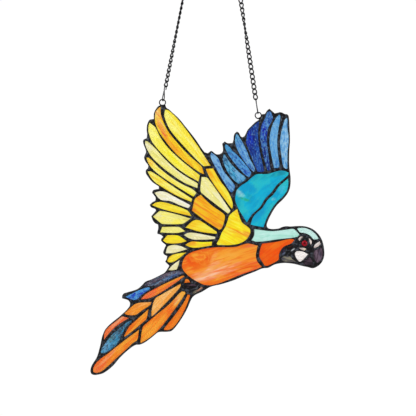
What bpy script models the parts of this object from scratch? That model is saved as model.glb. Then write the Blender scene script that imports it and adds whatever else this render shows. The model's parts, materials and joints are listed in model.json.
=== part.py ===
"""A stained glass macaw in flight, held in a soldered lattice and hung on two curb chains.

Frame: X to the right, Y away from the viewer, Z up, in metres. The origin is the hanging point,
midway between the crowns of the two upper S-hooks. Outlines are drawn in the cartoon, the
pattern that the glass is cut to: millimetres to the right of, and above, its lower left corner.
"""
import math

import bmesh
import bpy
from mathutils import Vector
from mathutils.geometry import delaunay_2d_cdt

MM = 0.001

# Where the hanging point lies in the cartoon, in millimetres.
HANG_X = 163.55
HANG_Z = 526.5

# Thicknesses and clearances of the panel, in millimetres.
LATTICE_DEPTH = 5.0
GLASS_DEPTH = 3.0
GLASS_CLEARANCE = 0.3
ARC_SAG = 0.45
MITRE_LIMIT = 0.25

# The eye is a round domed jewel. The dome's steps are shares of its radius and of its height.
JEWEL_CENTRE = (288.1, 175.1)
JEWEL_RADIUS = 3.75
JEWEL_DOME = 1.6
JEWEL_SIDES = 12
DOME_STEPS = ((0.72, 0.65), (0.36, 0.95))

# Hanging hardware, in millimetres.
RING_RADIUS = 4.1
RING_WIRE = 1.6
HOOK_WIRE = 1.5
HOOK_HEIGHT = 22.3
CROOK_RADIUS = 3.95
HOOK_LEG_END = (-2.9, 3.2)
HOOK_END_DROP = math.radians(20.0)
LINK_WIRE = 1.5
LINK_WIDTH = 7.1
LINK_TWIST = math.radians(45.0)
LINK_FLAT_GROWTH = 0.08
TOUCH = 0.08
SLACK = 0.3

# Facets of the round wires.
RING_STEPS = 16
RING_PHASE = 0.5
RING_SIDES = 6
CROOK_STEPS = 7
HOOK_SIDES = 5
LINK_STEPS = 8
LINK_SIDES = 3

# Each chain: ring centre and slope of its line in the cartoon, number of links, the turn of the
# lower and upper hooks from the panel's plane, and the roll of its links from bottom to top.
CHAINS = {
    "chain_left": dict(ring=(96.5, 365.2), lean=0.1985, links=18, hook_turns=(68.0, 90.0),
                       rolls=((0.0, 38.0), (0.3, 48.0), (0.5, 68.0), (0.7, 85.0), (1.0, 95.0))),
    "chain_right": dict(ring=(225.8, 347.7), lean=-0.152, links=20, hook_turns=(86.0, 90.0),
                        rolls=((0.0, 20.0), (0.12, 8.0), (0.42, 10.0), (0.6, 50.0), (0.75, 88.0),
                               (0.94, 168.0), (1.0, 175.0))),
}

# Outlines. A corner is (x, z, bow): bow is the height of the arc from this corner to the next,
# positive where the edge swells outwards. All in millimetres, in the cartoon.
SILHOUETTE = [
    (94, 361.5, 0.3), (100.4, 361.9, -1.3), (105.5, 355.8, 0.2), (108, 353.4, 1.0),
    (127.5, 332.7, 0.6), (153.3, 298.2, -0.3), (157.5, 296.7, 0), (162, 300, 0.5),
    (166.5, 297, -1.0), (173.5, 295.5, 0), (177.5, 298.5, -0.7), (177, 309.5, 0.2),
    (180.5, 312.7, 0.4), (183.5, 310.7, -0.2), (191, 310.5, -0.5), (192.7, 320, 0.9),
    (197, 326, 0.7), (201, 322, -0.8), (204.5, 318.2, -0.7), (208.6, 322.3, 1.1),
    (216.5, 333.5, 0.5), (226.5, 342, -0.3), (231, 349.5, 0.3), (234.5, 349.9, 0),
    (236.8, 353.1, 0.5), (241, 356.8, 0.3), (248, 350.6, -0.2), (252.2, 351.5, 0.7),
    (258.3, 351.5, -0.2), (262, 349.6, 0.9), (266.7, 347.5, 0.4), (268.1, 330.3, 0.7),
    (267.8, 299, -0.2), (268.2, 274, 0.4), (269.5, 264, 0.3), (268.4, 249, 0.9),
    (260.6, 236, 0), (250.2, 225.4, 0), (243.2, 214.3, -0.2), (237.2, 200, -0.9),
    (240, 195.2, -0.2), (250, 194.7, -0.5), (257.6, 197, 0.8), (269.3, 197.9, -0.3),
    (277.5, 198.5, 0.2), (290.5, 197.7, 0.45), (300.1, 193.8, 0.9), (310.5, 182.5, 0.75),
    (314.8, 167.3, 1.8), (311.3, 149, 1.3), (299.6, 141.4, 0.4), (292.4, 142.9, -0.2),
    (284, 144.7, 0), (274, 147.2, 0), (259.3, 148.4, -0.4), (248.4, 146.5, 0.3),
    (238.5, 141.8, -0.2), (232.5, 141.3, 0), (220, 136.2, -0.4), (210, 132.5, 0.9),
    (175, 119.6, -0.4), (162, 116.5, 0.4), (150, 109.7, -0.4), (139, 104, -0.5),
    (135, 98.5, 0.7), (123, 74.5, 0.3), (111, 58.5, 0.8), (104, 55.7, -0.3),
    (91, 55, -0.2), (82, 48, 0.3), (70, 39.8, 0.7), (61, 38, -0.4), (56, 35.5, 0),
    (38.5, 20, -0.2), (30, 10, 0.4), (21, 2.5, 0.7), (11, -2, 0.25), (3, -2.5, 0.9),
    (-0.7, 1.5, 0.4), (0.2, 8.5, 0.4), (8, 22, 0), (12, 35.5, 0), (16, 52, 0.9),
    (23.3, 63.7, -0.2), (41.5, 79, 0), (50, 87.5, -1.1), (52.4, 95, -0.4), (50.6, 97.8, 0),
    (42, 100.8, 1.0), (44, 107.2, 0), (49, 109, 0), (63, 113.6, -0.4), (69, 118.8, 0.4),
    (73, 123, 0.3), (81, 126.2, 0), (95, 133, 0), (99, 135.2, 0.4), (105.7, 144.7, 0.3),
    (100, 150.3, -0.6), (102.7, 157.7, 0), (98.4, 160.4, 0.3), (97.3, 162.5, 0),
    (101.1, 172.7, -0.4), (94.7, 178.5, 0.3), (94.7, 180.7, 0), (97.3, 183.9, 0),
    (94.1, 186.5, 0), (89.9, 187.6, 0.5), (89.9, 191.9, -0.6), (90.4, 200.4, 0),
    (86.7, 202, 0.9), (81.3, 211.7, 0), (87.7, 219.2, 0), (87.2, 220.8, 0), (80.8, 224, 0.4),
    (79.2, 227.2, 0.5), (86.7, 233, 0), (87.2, 236.3, 0), (82.4, 243.2, 0.3),
    (83.5, 246.4, 0.5), (91.5, 248.5, 0), (91.5, 251.7, 0), (81.3, 259.2, 0.5),
    (73.9, 270.4, 0.3), (74, 273.7, 0), (76.9, 277, 0), (77.2, 280, 0.8), (71.6, 290.8, 0.3),
    (74.3, 298.8, -0.3), (70.5, 310.5, 0.5), (70.8, 314.8, 0.3), (75.1, 317, -0.6),
    (75.1, 327.6, 0.3), (76.5, 337.5, 0.2), (78.8, 341.6, 0), (84.7, 343, 0),
    (85.2, 351.5, 0.9), (92, 361, 0),
]

YELLOW_FEATHERS = [
    [(100, 355.6, 0.3), (103.5, 355.2, 0.6), (117, 343.2, 1.4), (161.5, 279.9, 0),
     (151.5, 279.2, 1.2), (107, 327.5, 1.0), (98.7, 348.5, 0.4)],
    [(94.2, 359.8, 0), (94.3, 351, -1), (103.5, 327.5, -2.1), (149.5, 278.5, 0.4), (153, 268, 0),
     (148.5, 269.8, 1.7), (110.5, 300.5, 0.8), (90, 328.5, 1.4), (86.2, 347.5, 0.3),
     (87.5, 353.5, 0.6)],
    [(78.7, 338.4, 0.4), (86.4, 332.3, -2.9), (116.5, 292, -0.4), (147, 266.9, 0),
     (145.3, 258.2, 1.0), (114.6, 277.7, 0.6), (88, 304.5, 2.7), (77.2, 331, 0.4)],
    [(73, 313.3, 0), (75.5, 313.1, 0), (83, 307.3, -1.1), (118, 272.5, -0.5), (144.6, 256, 0),
     (143.8, 249.3, 1.8), (110, 267, 1.1), (81.5, 291.9, 0.9), (72.8, 309.5, 0.3)],
    [(74.6, 290.5, 0.2), (77, 291, 0), (79.9, 289.2, -1), (108, 264.5, -0.8), (138, 247.5, 0.3),
     (142.7, 243.4, 0), (138.2, 237.9, 0.2), (109.6, 255.5, 0.8), (83, 275.5, 1.2)],
    [(76.3, 272, 0), (80.3, 272.3, 0.3), (85, 269.9, -0.5), (136.8, 235.2, 0.3),
     (135.5, 230.7, 1.4), (94.7, 251.7, 2.5)],
    [(85.6, 243.6, 0.8), (97.3, 245.3, 0.7), (109.6, 240, 0), (134.3, 226.8, 0.7),
     (131, 222.4, 0.5), (108, 231.5, 0), (94, 233.6, 0.8)],
    [(82, 226.6, 1), (92, 231, 0.8), (110.7, 227.2, 0), (130.5, 219.4, 0.4), (136.2, 211.4, 0),
     (105.3, 218.7, 0.6)],
    [(83.4, 211, 0.3), (93.1, 219.1, 1), (134.8, 208.6, 0.2), (123.8, 201.2, 0.3),
     (96, 201.1, 0.4)],
    [(93, 189.6, 0.2), (96, 197.4, 0.3), (119.2, 197.3, 0.4), (127.7, 191.2, 0),
     (116, 188.9, 0.2)],
    [(97, 179, 0.3), (103.2, 186, 0.2), (118, 185.7, 0.3), (129.3, 178, 0), (120.3, 175.3, 0.2),
     (102, 175.3, 0.4)],
    [(100.6, 161.6, 0.4), (103.2, 170.5, 0.5), (110, 173.1, 1.5), (130.9, 167.2, 0),
     (110, 161.6, 0.3)],
    [(102.8, 151, 1.5), (109.6, 159.4, 0.6), (129.3, 163.1, 0.4), (113.3, 150.9, 0.3),
     (107, 149.3, 0.5)],
    [(104.2, 138.7, 0.5), (111.2, 147, 0.2), (120, 153, 0.6), (115.8, 139.6, 0.5)],
]

YELLOW_COVERTS = [
    [(148, 240.8, -1.4), (179.5, 214.6, 0.5), (181, 211, 0.5), (177.5, 197, 0.6),
     (173.3, 193.2, 1), (136.2, 219.2, 0.3), (140.3, 235.3, 0.3)],
    [(149, 264.7, 0.4), (155.5, 264.3, 0.5), (159.3, 261.2, 0), (188.4, 219.6, 0.9),
     (184.6, 215.1, 0.2), (148.6, 243.4, 0.3), (147.5, 246, 0.3)],
    [(154.7, 275.6, 0.2), (165, 276.3, -1), (185, 245, 0.4), (189.4, 236, -0.4),
     (191.6, 226.5, 0.5), (190.2, 221.2, -0.2), (164.5, 256.5, 0.7)],
    [(127.3, 196.4, 0.2), (137.5, 205.5, 1.2), (147, 206, 0.3), (170.3, 190.5, 0.3),
     (169.5, 187.7, 1.6)],
    [(125, 186.3, 1), (135, 189.9, 0), (168, 184.1, 0.5), (167, 180.6, 0.6), (137, 180.2, 0.8)],
    [(127, 172.9, 0.5), (136, 177.7, -0.6), (163.6, 177.5, 0), (163.2, 172.2, 0.3),
     (140, 168.8, 0.8)],
    [(197.4, 221.9, 0), (186.6, 212.9, 0.4), (184, 205, -0.8), (176, 189, -0.6),
     (169.4, 174.8, 0.2), (171, 172.7, 0), (190, 172.9, 1.8), (209.5, 180, 1),
     (215.4, 191, 1.1), (211.5, 197.5, 0), (204, 203.5, -0.6)],
]

BLUE_FEATHERS = [
    [(162.3, 297.7, 0.3), (171, 290.6, 0.5), (174.2, 283.8, -1.6), (187.5, 262, 0.5),
     (194.3, 252, 1), (190, 243.5, 0.5), (186.5, 247, 0.6), (164.5, 284.5, 0.6),
     (161.3, 294.5, 0.2)],
    [(180.2, 295, -2.2), (209.3, 263.5, 0.3), (208.6, 262, 0), (200.8, 255.9, 0.5),
     (197.6, 256.6, 1.7), (181.8, 276.7, 0.2), (177.8, 288.3, 0.3), (179, 294.8, 0.2)],
    [(181.2, 308.6, 0.2), (184.5, 307.6, -0.5), (197, 294.6, 0.4), (216.2, 271.3, 0.6),
     (213.7, 264.3, 0.4), (211, 265.4, 1), (190, 288.2, 0.2), (184.6, 296.3, 0.2),
     (180.6, 306.5, 0.3)],
    [(196.4, 322.7, 0.3), (198.3, 321.3, 0.2), (210.5, 299.5, 0), (214.5, 289, 0.5),
     (221.2, 275, 0.6), (219.3, 271.5, 0.2), (216.8, 273.7, 0.8), (200.5, 295.8, 1.3),
     (194.4, 315, 0.6)],
    [(226.7, 339.9, 0.2), (225.5, 323, -0.4), (227, 304, 0), (233.8, 273, 0.4),
     (232, 271.4, 0), (224.4, 271.9, 0.3), (217.3, 290, 0), (209.6, 311, 1.0),
     (212.5, 326.4, 0.7)],
    [(239.2, 352.6, 0.3), (242.2, 353.1, 0.8), (245.3, 343.2, 0.2), (244.3, 340.5, -1.5),
     (237.6, 321, -0.6), (238.4, 302.5, 0), (242.3, 274.5, 0.4), (240.5, 272.9, 0.2),
     (237.9, 273.7, 0), (231.2, 299, 0.3), (228.4, 317, 0.9), (231.2, 336.8, -0.2),
     (235.4, 344.7, 0.6)],
    [(254.6, 348.6, 0.4), (255.7, 346.3, -0.5), (251.3, 312, -0.5), (254.3, 279.2, 0.5),
     (252.6, 277.1, 0.3), (247.1, 276.8, 0.7), (241, 313, 0.9), (244.5, 333.5, 0.3),
     (248, 341, 0), (252.9, 347.7, 0.3)],
    [(264, 344.5, 0.3), (265, 342.3, 0), (264.9, 333, 0.2), (266.8, 317, -0.2),
     (265.3, 298, 0), (265, 275.8, 0.2), (263.2, 275.7, 0), (259.9, 277.8, 0.7),
     (255.2, 311, 0.9), (259.2, 334.5, 0.5), (262.6, 343.3, 0.2)],
]

CYAN_COVERTS = [
    [(223, 268.2, 0), (240, 269, 0.6), (258, 273.2, 0.6), (266.6, 270.4, 0.3),
     (266.4, 267.7, 0), (250.2, 253.2, 0.9), (235, 235.2, 0), (228.5, 224.7, 0),
     (216.5, 213, 0), (210.2, 203.3, 0.3), (197, 226, 1.5), (195.4, 241.5, 1.2),
     (200, 250.5, 0.5), (209.5, 257.2, 0.5)],
    [(265.8, 262.6, 0.2), (252.8, 250.7, 0), (246.7, 241.6, -0.3), (238.5, 233.8, 0),
     (230.5, 222, 0.5), (219.5, 211.5, 0), (215.4, 201, 0.2), (216, 200.3, 0),
     (233, 196.8, 0.4), (233.7, 199.6, -0.4), (241.3, 217.2, 0), (251.9, 232.1, 0.7),
     (263.6, 244.7, 0.9), (266.4, 258, 0)],
]

BODY_AND_HEAD = {
    "body": [(134, 162.3, 1.2), (165, 169.5, 0), (195, 170.4, -0.4), (211, 175, 0.4),
             (225.2, 172, -0.4), (222.6, 158.5, -1.9), (230.6, 143.8, 0.4), (229, 142.6, 0),
             (203, 133, 0.4), (170, 120.2, 1.1), (153, 119.1, 0.6), (136.5, 127.5, 0.3),
             (125, 138, 1.5), (123.6, 150, 1.8)],
    "neck": [(220.5, 194.3, 0.2), (245, 191.6, 0), (273.5, 194.6, 0), (281.3, 187.2, 0.5),
             (278, 183.7, -0.3), (252.5, 180.5, 0.2), (228, 177.4, 0.9), (216.7, 179.2, -1.6)],
    "crown": [(279.2, 195.6, 0.3), (290.5, 195.4, 2), (307.3, 182, 0.3), (306.3, 181.1, 0),
              (300.3, 180.2, -1.8), (287.1, 189.1, 0), (282.7, 189.6, 0), (278.3, 194.5, 0.3)],
    "cheek_red": [(230.8, 174.6, -0.2), (250, 177.2, 0.2), (270, 181.2, 0.3), (274.6, 180, 0),
                  (271.5, 175.9, 0), (259.3, 169.9, -0.7), (253.8, 160, 0), (253.3, 153, 0.3),
                  (250.8, 151.1, 0.5), (237, 144.7, 0.3), (234.6, 144.8, -0.2),
                  (227.4, 156.5, 1.2)],
    "eye_patch_above": [(279.4, 180.5, 0.8), (283.5, 184.7, 0.3), (287.4, 184, 0),
                        (283.4, 180.6, 0.2), (281.6, 177.9, 0.4)],
    "eye_patch_front": [(293.6, 182.3, 0.3), (295.6, 181.4, 0.5), (298.3, 176.6, 0.3),
                        (296.5, 172.3, 0.2), (295.2, 176, 0)],
    "eye_patch_below": [(280.1, 169.3, 0.2), (288.6, 169, 0.3), (291, 167.4, 0.4),
                        (288, 165, 0.3), (283.4, 166.6, 0)],
    "cheek_white": [(277.2, 164.6, 0.4), (286.2, 164, 0.4), (293.3, 160.4, 0.3),
                    (284.2, 151.2, 0.5), (281.2, 150.3, 0.3), (275.8, 157.4, 0.4),
                    (275.2, 162.4, 0.4)],
    "cere": [(308.8, 178.2, 0.4), (310.2, 174.4, 0.3), (308.6, 172.4, 0), (302.4, 168.9, 0.3),
             (300.2, 169.2, 0.3), (301.8, 173.4, 0.2)],
    "beak_upper": [(301.3, 165, 0.2), (310.6, 169.4, 0.8), (312.8, 160, 0.5),
                   (310.4, 153.1, 0.2), (305.5, 148.6, 0.2), (303.7, 149.9, 0.3),
                   (300.5, 159.4, 0.3)],
    "beak_lower": [(294.8, 157, 0.2), (297.8, 153, 0.2), (299.5, 146.8, 0.3), (298.8, 145, 0),
                   (293, 145.4, 0.2), (287.6, 146.5, 0.3), (286.8, 149.2, 0.3),
                   (290.6, 154.6, 0.2)],
    "throat": [(256.4, 154.6, 0.4), (260.5, 157.7, 0.3), (269, 157.4, 0.2), (271.8, 153.8, -0.3),
               (277.2, 150.2, 0.1), (268, 150, 0), (259.3, 151.3, 0.3)],
}

TAIL_FEATHERS = [
    [(71.5, 117.9, 0.2), (74, 120.8, 0), (102, 135, -0.3), (119, 138.2, 0.8), (125.6, 135.1, 0),
     (119, 132.6, 0), (96, 121.5, 0), (90, 118.2, 0.2), (84, 117.4, 0)],
    [(46.6, 102.8, 0.3), (52.4, 105.9, 0), (66, 112.2, 0), (78, 115.8, 0.5), (80, 113.8, 0.2),
     (67, 104.3, 0), (63.8, 100.5, 0.2), (58, 98.6, 0.1)],
    [(126.7, 130.8, 0.6), (122.3, 131.2, 0), (78, 109.5, 0.9), (66.9, 99.3, 0.2),
     (77.5, 100.6, 0.4), (86, 104, 0.9)],
    [(127.6, 127.4, 0.3), (131, 126.8, 0.3), (134.2, 122.2, 0.1), (125.8, 121.6, 0.2)],
    [(120.7, 120.6, 0.2), (97.5, 107.5, 0), (87.2, 101.2, 0.4), (85.3, 98.3, 0.6),
     (81.6, 83, 0), (81.6, 76.5, 0.4), (83.4, 77, 0), (119.3, 114.2, 0.3), (121.4, 119, 0.2)],
    [(81.8, 96.2, -0.2), (62, 94.4, 0.6), (54.5, 89.4, 0), (45, 80.6, 0.3), (48.5, 78.6, 0.4),
     (60.5, 78.5, 0.4), (67, 83, 0), (80.7, 92.8, 0.2)],
    [(51.4, 74.4, 0.2), (42, 76.8, 0.2), (36, 72, 0), (22.5, 61, 0.8), (17.9, 53, 0.3),
     (17.6, 44.8, -0.5), (33, 62.3, -0.4)],
    [(55, 72, 1), (38, 60, 0), (28.5, 52, 0.2), (16.5, 36, 0.7), (13.4, 28.4, 0.6),
     (15.6, 26.4, 0.4), (24.6, 30.4, 0.3), (36.3, 40.3, 0.4), (42.5, 53.5, -0.4), (47.5, 62.5, 0),
     (54.8, 69.8, 0.3)],
    [(78, 86.8, -0.2), (74.6, 72, 0.3), (72.4, 70.2, 0.4), (56, 56.5, 0), (45.4, 48.8, 0.4),
     (44.6, 50.6, 0.3), (51, 62, 0.2), (62.5, 73, 0)],
    [(65.1, 58.9, 0.3), (41, 41, 0.2), (24, 27.5, -0.4), (9, 16, 1.4), (2.8, 4, 1.2),
     (5.5, 0.4, 1.1), (16, 3.5, 0.3), (35, 20.5, 0), (51.5, 35.5, -0.6), (62.7, 44.6, 0.4)],
    [(122, 110.2, 0.2), (126.6, 110.2, 0.3), (127.8, 108, 0.5), (113, 86, 0.4), (93, 60, 0.2),
     (86.5, 53.4, 0.6), (68, 40.6, 0.2), (66.4, 41.2, 0.2), (69.8, 62.3, 0.1),
     (77.5, 69.6, 0.2), (107.5, 95, -0.4)],
    [(130.2, 105.9, 0.2), (133, 105.9, 0.3), (133.8, 104.3, 0.2), (123.5, 79, 0.4),
     (113, 63.5, 0.9), (104, 58, 0.1), (98.8, 58.1, 0.4), (98.3, 59.8, 0), (113.7, 79.3, -0.5),
     (127.3, 99.5, 0.4)],
    [(139.8, 108.9, 0.2), (144, 112.2, 0.1), (148.8, 116.3, 0.3), (151.9, 115.3, 0.2),
     (146, 110.6, 0.2)],
]

# Colours of the glass, one for each piece in the order of its group.
LEMON, AMBER, CREAM, GOLD = (0.95, 0.8, 0.12), (0.93, 0.5, 0.08), (0.93, 0.88, 0.55), (0.9, 0.66, 0.1)
ORANGE, RED, MINT, WHITE = (0.9, 0.33, 0.05), (0.75, 0.1, 0.04), (0.55, 0.86, 0.76), (0.9, 0.85, 0.83)
SKY, BLUE, ROYAL, TEAL = (0.25, 0.55, 0.9), (0.06, 0.25, 0.75), (0.02, 0.07, 0.42), (0.04, 0.4, 0.5)
CYAN, SLATE, BEAK, SOLDER = (0.08, 0.62, 0.82), (0.3, 0.3, 0.45), (0.07, 0.03, 0.1), (0.03, 0.03, 0.035)
PATINA_METALLIC = 0.8
PATINA_ROUGHNESS = 0.4
GLASS_ROUGHNESS = 0.12
GLASS_CLEARNESS = 0.5

YELLOW_FEATHER_COLOURS = [LEMON, AMBER, LEMON, CREAM, LEMON, AMBER, CREAM, GOLD, LEMON, LEMON,
                          GOLD, CREAM, GOLD, CREAM]
YELLOW_COVERT_COLOURS = [AMBER, CREAM, AMBER, GOLD, CREAM, ORANGE, LEMON]
BLUE_FEATHER_COLOURS = [BLUE, TEAL, BLUE, SKY, ROYAL, ROYAL, SKY, SKY]
CYAN_COVERT_COLOURS = [CYAN, CYAN]
BODY_AND_HEAD_COLOURS = [ORANGE, MINT, MINT, RED, WHITE, WHITE, WHITE, WHITE, WHITE, BEAK, BEAK,
                         SLATE]
TAIL_COLOURS = [SLATE, BLUE, RED, ORANGE, ORANGE, ORANGE, RED, TEAL, ORANGE, ORANGE, ORANGE,
                ORANGE, CREAM]


def clear_scene():
    """Removes every object of the open file."""
    for thing in list(bpy.data.objects):
        bpy.data.objects.remove(thing, do_unlink=True)


def metal_material():
    """Black patina on tin solder, as on the lines, rings, hooks and chains."""
    material = bpy.data.materials.new("black_patina")
    material.use_nodes = True
    shader = material.node_tree.nodes["Principled BSDF"]
    shader.inputs["Base Color"].default_value = (*SOLDER, 1.0)
    shader.inputs["Metallic"].default_value = PATINA_METALLIC
    shader.inputs["Roughness"].default_value = PATINA_ROUGHNESS
    return material


def glass_material(name, colour):
    """Coloured art glass that lets about half of the light through."""
    material = bpy.data.materials.new(name)
    material.use_nodes = True
    shader = material.node_tree.nodes["Principled BSDF"]
    shader.inputs["Base Color"].default_value = (*colour, 1.0)
    shader.inputs["Metallic"].default_value = 0.0
    shader.inputs["Roughness"].default_value = GLASS_ROUGHNESS
    shader.inputs["Transmission Weight"].default_value = GLASS_CLEARNESS
    return material


def add_object(name, bm, material, smooth=False):
    """Turns a bmesh into a named object at the hanging point."""
    bmesh.ops.recalc_face_normals(bm, faces=bm.faces)
    mesh = bpy.data.meshes.new(name)
    bm.to_mesh(mesh)
    bm.free()
    if smooth:
        mesh.shade_smooth()
    mesh.materials.append(material)
    thing = bpy.data.objects.new(name, mesh)
    bpy.context.collection.objects.link(thing)
    return thing


def signed_area(points):
    """Twice the area of a loop, positive where it runs anticlockwise."""
    total = 0.0
    for (ax, az), (bx, bz) in zip(points, points[1:] + points[:1]):
        total += ax * bz - bx * az
    return total


def bowed_loop(corners):
    """Points of an outline in the cartoon, its bowed edges cut into short chords."""
    plain = [(x, z) for x, z, _ in corners]
    side = 1.0 if signed_area(plain) > 0 else -1.0
    loop = []
    for (ax, az, bow), (bx, bz, _) in zip(corners, corners[1:] + corners[:1]):
        length = math.hypot(bx - ax, bz - az)
        out_x = side * (bz - az) / length
        out_z = -side * (bx - ax) / length
        chords = max(1, math.ceil(math.sqrt(abs(bow) / ARC_SAG)))
        for step in range(chords):
            s = step / chords
            lift = 4.0 * bow * s * (1.0 - s)
            loop.append((ax + (bx - ax) * s + out_x * lift, az + (bz - az) * s + out_z * lift))
    return loop


def inset_loop(loop, distance):
    """The same loop moved inwards by a distance, with mitred corners."""
    side = 1.0 if signed_area(loop) > 0 else -1.0
    moved = []
    for index, here in enumerate(loop):
        before = Vector(here) - Vector(loop[index - 1])
        after = Vector(loop[(index + 1) % len(loop)]) - Vector(here)
        before.normalize()
        after.normalize()
        inward_before = Vector((-before.y, before.x)) * side
        inward_after = Vector((-after.y, after.x)) * side
        bisector = (inward_before + inward_after).normalized()
        reach = distance / max(MITRE_LIMIT, bisector.dot(inward_before))
        moved.append(tuple(Vector(here) + bisector * reach))
    return moved


def to_row(x, z, y=0.0):
    """A cartoon point as a point of the part, in metres."""
    return Vector(((x - HANG_X) * MM, y * MM, (z - HANG_Z) * MM))


def extruded(loops, depth):
    """A flat plate: the first loop's outline with the other loops as openings, centred on Y."""
    points = []
    faces = []
    for loop in loops:
        turned = loop if signed_area(loop) > 0 else list(reversed(loop))
        faces.append(list(range(len(points), len(points) + len(turned))))
        points += [Vector(point) for point in turned]
    flat, _, triangles, _, _, sources = delaunay_2d_cdt(points, [], faces, 1, 1e-5, True)
    bm = bmesh.new()
    front = [bm.verts.new(to_row(p.x, p.y, -depth / 2)) for p in flat]
    for triangle, source in zip(triangles, sources):
        if source == [0]:
            bm.faces.new([front[i] for i in triangle])
    stray = [v for v in bm.verts if not v.link_faces]
    bmesh.ops.delete(bm, geom=stray, context="VERTS")
    result = bmesh.ops.extrude_face_region(bm, geom=list(bm.faces))
    back = [item for item in result["geom"] if isinstance(item, bmesh.types.BMVert)]
    bmesh.ops.translate(bm, verts=back, vec=(0.0, depth * MM, 0.0))
    return bm


def tube(bm, path, radius, sides, closed, inward=None):
    """Adds a wire along a path of points; inward tells which way its first corner looks."""
    count = len(path)
    rings = []
    for index, point in enumerate(path):
        if closed:
            along = path[(index + 1) % count] - path[index - 1]
        else:
            along = path[min(index + 1, count - 1)] - path[max(index - 1, 0)]
        along.normalize()
        toward = inward(index, point)
        toward = (toward - along * toward.dot(along)).normalized()
        across = along.cross(toward)
        ring = []
        for k in range(sides):
            angle = math.tau * k / sides
            ring.append(bm.verts.new(point + radius * (toward * math.cos(angle)
                                                       + across * math.sin(angle))))
        rings.append(ring)
    for index in range(count if closed else count - 1):
        here = rings[index]
        there = rings[(index + 1) % count]
        for k in range(sides):
            nxt = (k + 1) % sides
            bm.faces.new((here[k], here[nxt], there[nxt], there[k]))
    if not closed:
        bm.faces.new(list(reversed(rings[0])))
        bm.faces.new(rings[-1])


def hanging_ring(name, centre, material):
    """A closed wire ring that lies in the panel's plane."""
    middle = to_row(*centre)
    path = []
    for step in range(RING_STEPS):
        angle = math.tau * (step + RING_PHASE) / RING_STEPS
        path.append(middle + RING_RADIUS * MM * Vector((math.cos(angle), 0.0, math.sin(angle))))
    bm = bmesh.new()
    tube(bm, path, RING_WIRE / 2 * MM, RING_SIDES, True, lambda index, point: middle - point)
    return add_object(name, bm, material, smooth=True)


def unite(target, tool):
    """Fuses a second solid into the first and removes the second."""
    modifier = target.modifiers.new("fuse", "BOOLEAN")
    modifier.operation = "UNION"
    modifier.solver = "EXACT"
    modifier.object = tool
    bpy.context.view_layer.update()
    graph = bpy.context.evaluated_depsgraph_get()
    fused = bpy.data.meshes.new_from_object(target.evaluated_get(graph))
    target.modifiers.clear()
    target.data = fused
    bpy.data.objects.remove(tool, do_unlink=True)


def solder_lattice(openings, material):
    """All the solder in one plate with an opening for each glass, and the two rings on it."""
    plate = extruded([bowed_loop(SILHOUETTE)] + openings, LATTICE_DEPTH)
    lattice = add_object("solder_lattice", plate, material)
    for name, chain in CHAINS.items():
        unite(lattice, hanging_ring(name + "_ring", chain["ring"], material))
    return lattice


def glass_piece(name, opening, colour):
    """One cut of glass, a little smaller than the opening that holds it."""
    plate = extruded([inset_loop(opening, GLASS_CLEARANCE)], GLASS_DEPTH)
    return add_object(name, plate, glass_material(name, colour))


def jewel_opening():
    """The round opening of the eye."""
    x, z = JEWEL_CENTRE
    turn = math.tau / JEWEL_SIDES
    return [(x + JEWEL_RADIUS * math.cos(turn * k), z + JEWEL_RADIUS * math.sin(turn * k))
            for k in range(JEWEL_SIDES)]


def eye_jewel():
    """A round jewel, flat behind and domed towards the viewer."""
    middle = to_row(*JEWEL_CENTRE)
    radius = JEWEL_RADIUS - GLASS_CLEARANCE
    half = GLASS_DEPTH / 2
    profile = [(radius, half), (radius, -half)]
    for reach_share, dome_share in DOME_STEPS:
        profile.append((radius * reach_share, -half - JEWEL_DOME * dome_share))
    bm = bmesh.new()
    rings = []
    for reach, depth in profile:
        ring = []
        for k in range(JEWEL_SIDES):
            angle = math.tau * k / JEWEL_SIDES
            offset = Vector((reach * math.cos(angle), depth, reach * math.sin(angle)))
            ring.append(bm.verts.new(middle + offset * MM))
        rings.append(ring)
    for here, there in zip(rings, rings[1:]):
        for k in range(JEWEL_SIDES):
            nxt = (k + 1) % JEWEL_SIDES
            bm.faces.new((here[k], here[nxt], there[nxt], there[k]))
    bm.faces.new(rings[0])
    bm.faces.new(rings[-1])
    return add_object("eye_jewel", bm, glass_material("eye_jewel", RED))


def hook_path():
    """Centre line of an S-hook in its own plane, from its upper end to the end of its long leg."""
    reach = (HOOK_HEIGHT - HOOK_WIRE) / 2 - CROOK_RADIUS
    lean = math.asin(CROOK_RADIUS / reach)
    start = -HOOK_END_DROP
    sweep = math.pi + lean - start
    upper = []
    for step in range(CROOK_STEPS + 1):
        angle = start + sweep * step / CROOK_STEPS
        upper.append((CROOK_RADIUS * math.cos(angle), reach + CROOK_RADIUS * math.sin(angle)))
    lower = []
    for step in range(CROOK_STEPS + 1):
        angle = (math.pi + lean) * (1.0 - step / CROOK_STEPS)
        lower.append((-CROOK_RADIUS * math.cos(angle), -reach - CROOK_RADIUS * math.sin(angle)))
    return upper + lower + [HOOK_LEG_END]


def add_hook(bm, crown, up, turn):
    """Adds an S-hook whose crown is at a point and whose plane is turned about its long axis."""
    side = Vector((math.cos(turn), math.sin(turn), 0.0))
    side = (side - up * side.dot(up)).normalized()
    normal = side.cross(up)
    middle = crown - up * (HOOK_HEIGHT - HOOK_WIRE) / 2 * MM
    path = [middle + side * (u * MM) + up * (v * MM) for u, v in hook_path()]
    tube(bm, path, HOOK_WIRE / 2 * MM, HOOK_SIDES, False, lambda index, point: normal)


def roll_at(rolls, share):
    """Roll of a link, in radians, read between the stated turns along the chain."""
    for (low, start), (high, end) in zip(rolls, rolls[1:]):
        if share <= high:
            return math.radians(start + (end - start) * (share - low) / (high - low))
    return math.radians(rolls[-1][1])


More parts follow.
